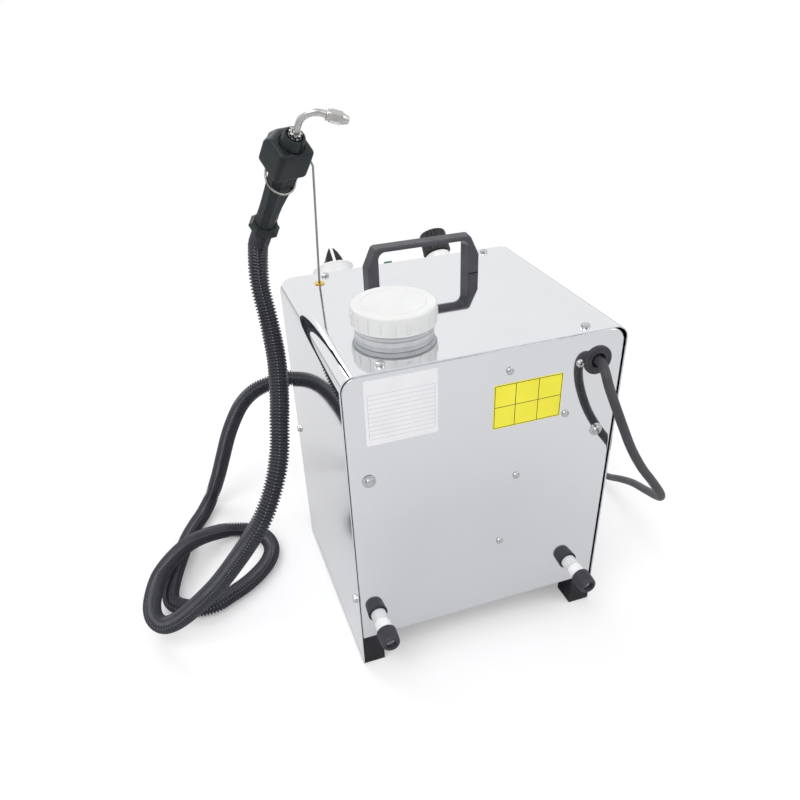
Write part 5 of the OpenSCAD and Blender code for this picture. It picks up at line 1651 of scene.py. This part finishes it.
    def nozzle(self) -> None:
        """Makes the castellated nut, the bent tube and the six-sided tip."""
        t = self.top + 11
        notched = []
        for k in range(8):
            for a, r in ((0, 5.9), (24, 5.9), (25, 4.9), (44, 4.9)):
                angle = math.radians(45 * k + a)
                notched.append((r * math.cos(angle), r * math.sin(angle)))
        bore = arc((0, 0), 3.35, 0, 345, 23)
        nut = Shape(self.seat).slab(notched, t - 1.2, t + 2.4, 0.25, [bore], 1)
        nut.slab(arc((0, 0), 6.0, 0, 351, 39), t - 4.8, t - 1.2, 0.4, [bore], 2)
        dress(nut.piece("castle_nut", 28), CHROME, "chrome", "nozzle_nut", body=self.body)
        corner, bend, reach, tip = t + 27.5, self.nozzle_bend, self.nozzle_reach, self.tip
        line = [Vector((0, 0, self.top - 4)), Vector((0, 0, corner - bend - 4))]
        line += [Vector((bend - x, 0, corner - bend + z)) for x, z in arc((0, 0), bend, 0, 90, 18)]
        line += [Vector((reach - tip + 6, 0, corner))]
        spun = self.seat @ turn(self.nozzle_turn, "Z")
        tube = Shape(spun).tube(line, self.tube_radius, 28).piece("bent_tube")
        dress(tube, TUBE, "chrome", "nozzle_tube", body=self.body)
        front = spun @ Matrix.Translation((reach - tip, 0, corner)) @ turn(90, "Y")
        six = arc((0, 0), self.tip_radius, 30, 330, 5)
        end = Shape(front).slab(six, 3.2, tip - 6, 0.7, [arc((0, 0), 1.2, 0, 345, 23)], 2)
        end.lathe([(3.1, 0.1), (4.6, 0.1), (4.9, 0.5), (4.9, 3.3), (3.1, 3.3)], 36, True)
        end.lathe([(1.0, tip - 6.2), (4.9, tip - 6.2), (4.6, tip - 4.5), (3.5, tip - 1.4), (3.2, tip - 0.5),
                   (2.6, tip), (1.0, tip)], 36, True)
        end.lathe([(0, tip - 4), (1.1, tip - 4), (1.1, tip - 3.6), (0, tip - 3.6)], 16)
        dress(end.piece("nozzle_end", 28), TUBE, "chrome", "nozzle_tip", body=self.body)

    def button(self) -> None:
        """Turns the domed steam button on the head's far side."""
        z = (self.low + 4 + self.top - 5) / 2
        seat = self.seat @ Matrix.Translation((0, 17.7, z)) @ turn(-90, "X")
        dome = [(0, 0), (6.5, 0), (6.5, 2), (5, 2), (5, 8.6), (4.6, 9), (4.2, 8.8), (3.6, 9.1), (3.1, 8.9),
                (2.4, 9.2), (1.8, 9.0), (0, 9.3)]
        piece = Shape(seat).lathe(dome, 40).piece("domed_button", 50)
        dress(piece, RUBBER, "black_plastic", "handpiece_button", body="steam_button")

    def build(self) -> None:
        """Builds the handpiece."""
        self.head()
        self.grips()
        self.nozzle()
        self.button()
        coat_nodes(DEVICE, "handpiece_switch")


@dataclass
class Holder:
    """Wire ring on a rod that carries the handpiece, in a brass bush."""

    hand: Handpiece
    foot: Flat = (105.3, -96.5)
    base: float = DECK
    rod_height: float = 126.0
    wire: float = 1.15
    ring: float = 15.1
    tilt: float = 26.0
    rise: float = 4.4
    start: float = 75.0
    sweep: float = 285.0

    def build(self) -> None:
        """Bends the wire and turns the bush."""
        turn_in = self.hand.seat.to_3x3()
        across, along = turn_in @ Vector((1, 0, 0)), turn_in @ Vector((0, 1, 0))
        axis = self.hand.axis
        a = math.radians(self.tilt)
        lean = along * math.cos(a) + axis * math.sin(a)
        centre = Vector(self.hand.at) + axis * self.rise

        def ring_point(angle: float) -> Vector:
            """Gives a point of the ring."""
            b = math.radians(angle)
            return centre + self.ring * (across * math.cos(b) + lean * math.sin(b))
        b = math.radians(self.start)
        way = lean * math.cos(b) - across * math.sin(b)
        first = ring_point(self.start)
        x, y = self.foot
        top = Vector((x - 3.7, y + 4.8, self.base + self.rod_height))
        points = smooth_path([(x, y, self.base - 7), (x, y, self.base + 1.4), top - Vector((0, 0, 16)), top,
                              top + Vector((8, 12, 8)), first - way * 18, first - way * 6, first], 10)
        points += [ring_point(self.start + self.sweep * i / 84) for i in range(1, 85)]
        dress(Shape().tube(points, self.wire, 14).piece("ring_wire"), WIRE, "wire", "holder_rod")
        profile = [(1.4, -7), (4, -7), (4, 0.05), (5.6, 0.05), (5.8, 0.3), (5.8, 1), (5.3, 1.4), (1.4, 1.4)]
        seat = Matrix.Translation((x, y, self.base))
        dress(Shape(seat).lathe(profile, 48, True).piece("brass_bush"), BRASS, "brass", "holder_bush")


class Insides:
    """Finishes of the solids inside the cabinet."""

    FINISHES: dict[str, tuple[Finish, tuple[str, ...]]] = {
        "steel": (SHEET, ("boiler_shell", "heating_element")),
        "brass": (BRASS, ("safety_valve", "solenoid_valve", "steam_valve")),
        "copper": (COPPER, ("pump_pipe", "steam_pipe", "outlet_pipe")),
        "device": (DEVICE, ("water_pump", "pressure_switch", "selector_switch")),
        "board": (BOARD, ("control_board",)),
        "feed": (NATURAL_PE, ("feed_pipe",)),
    }

    def build(self) -> None:
        """Coats the inner solids."""
        for finish, nodes in self.FINISHES.values():
            coat_nodes(finish, *nodes)


def main() -> None:
    """Builds the stage, the cords and each sub-assembly in order."""
    logging.basicConfig(level=logging.INFO, format="%(name)s %(message)s")
    Studio().build()
    hand = Handpiece()
    MainsLead().build()
    SteamHose().build(hand.hose_end, hand.axis)
    Cabinet().build()
    CarryHandle().build()
    FillerCap().build()
    RearFittings().build()
    Console().build()
    hand.build()
    Holder(hand).build()
    Insides().build()


if __name__ == "__main__":
    main()
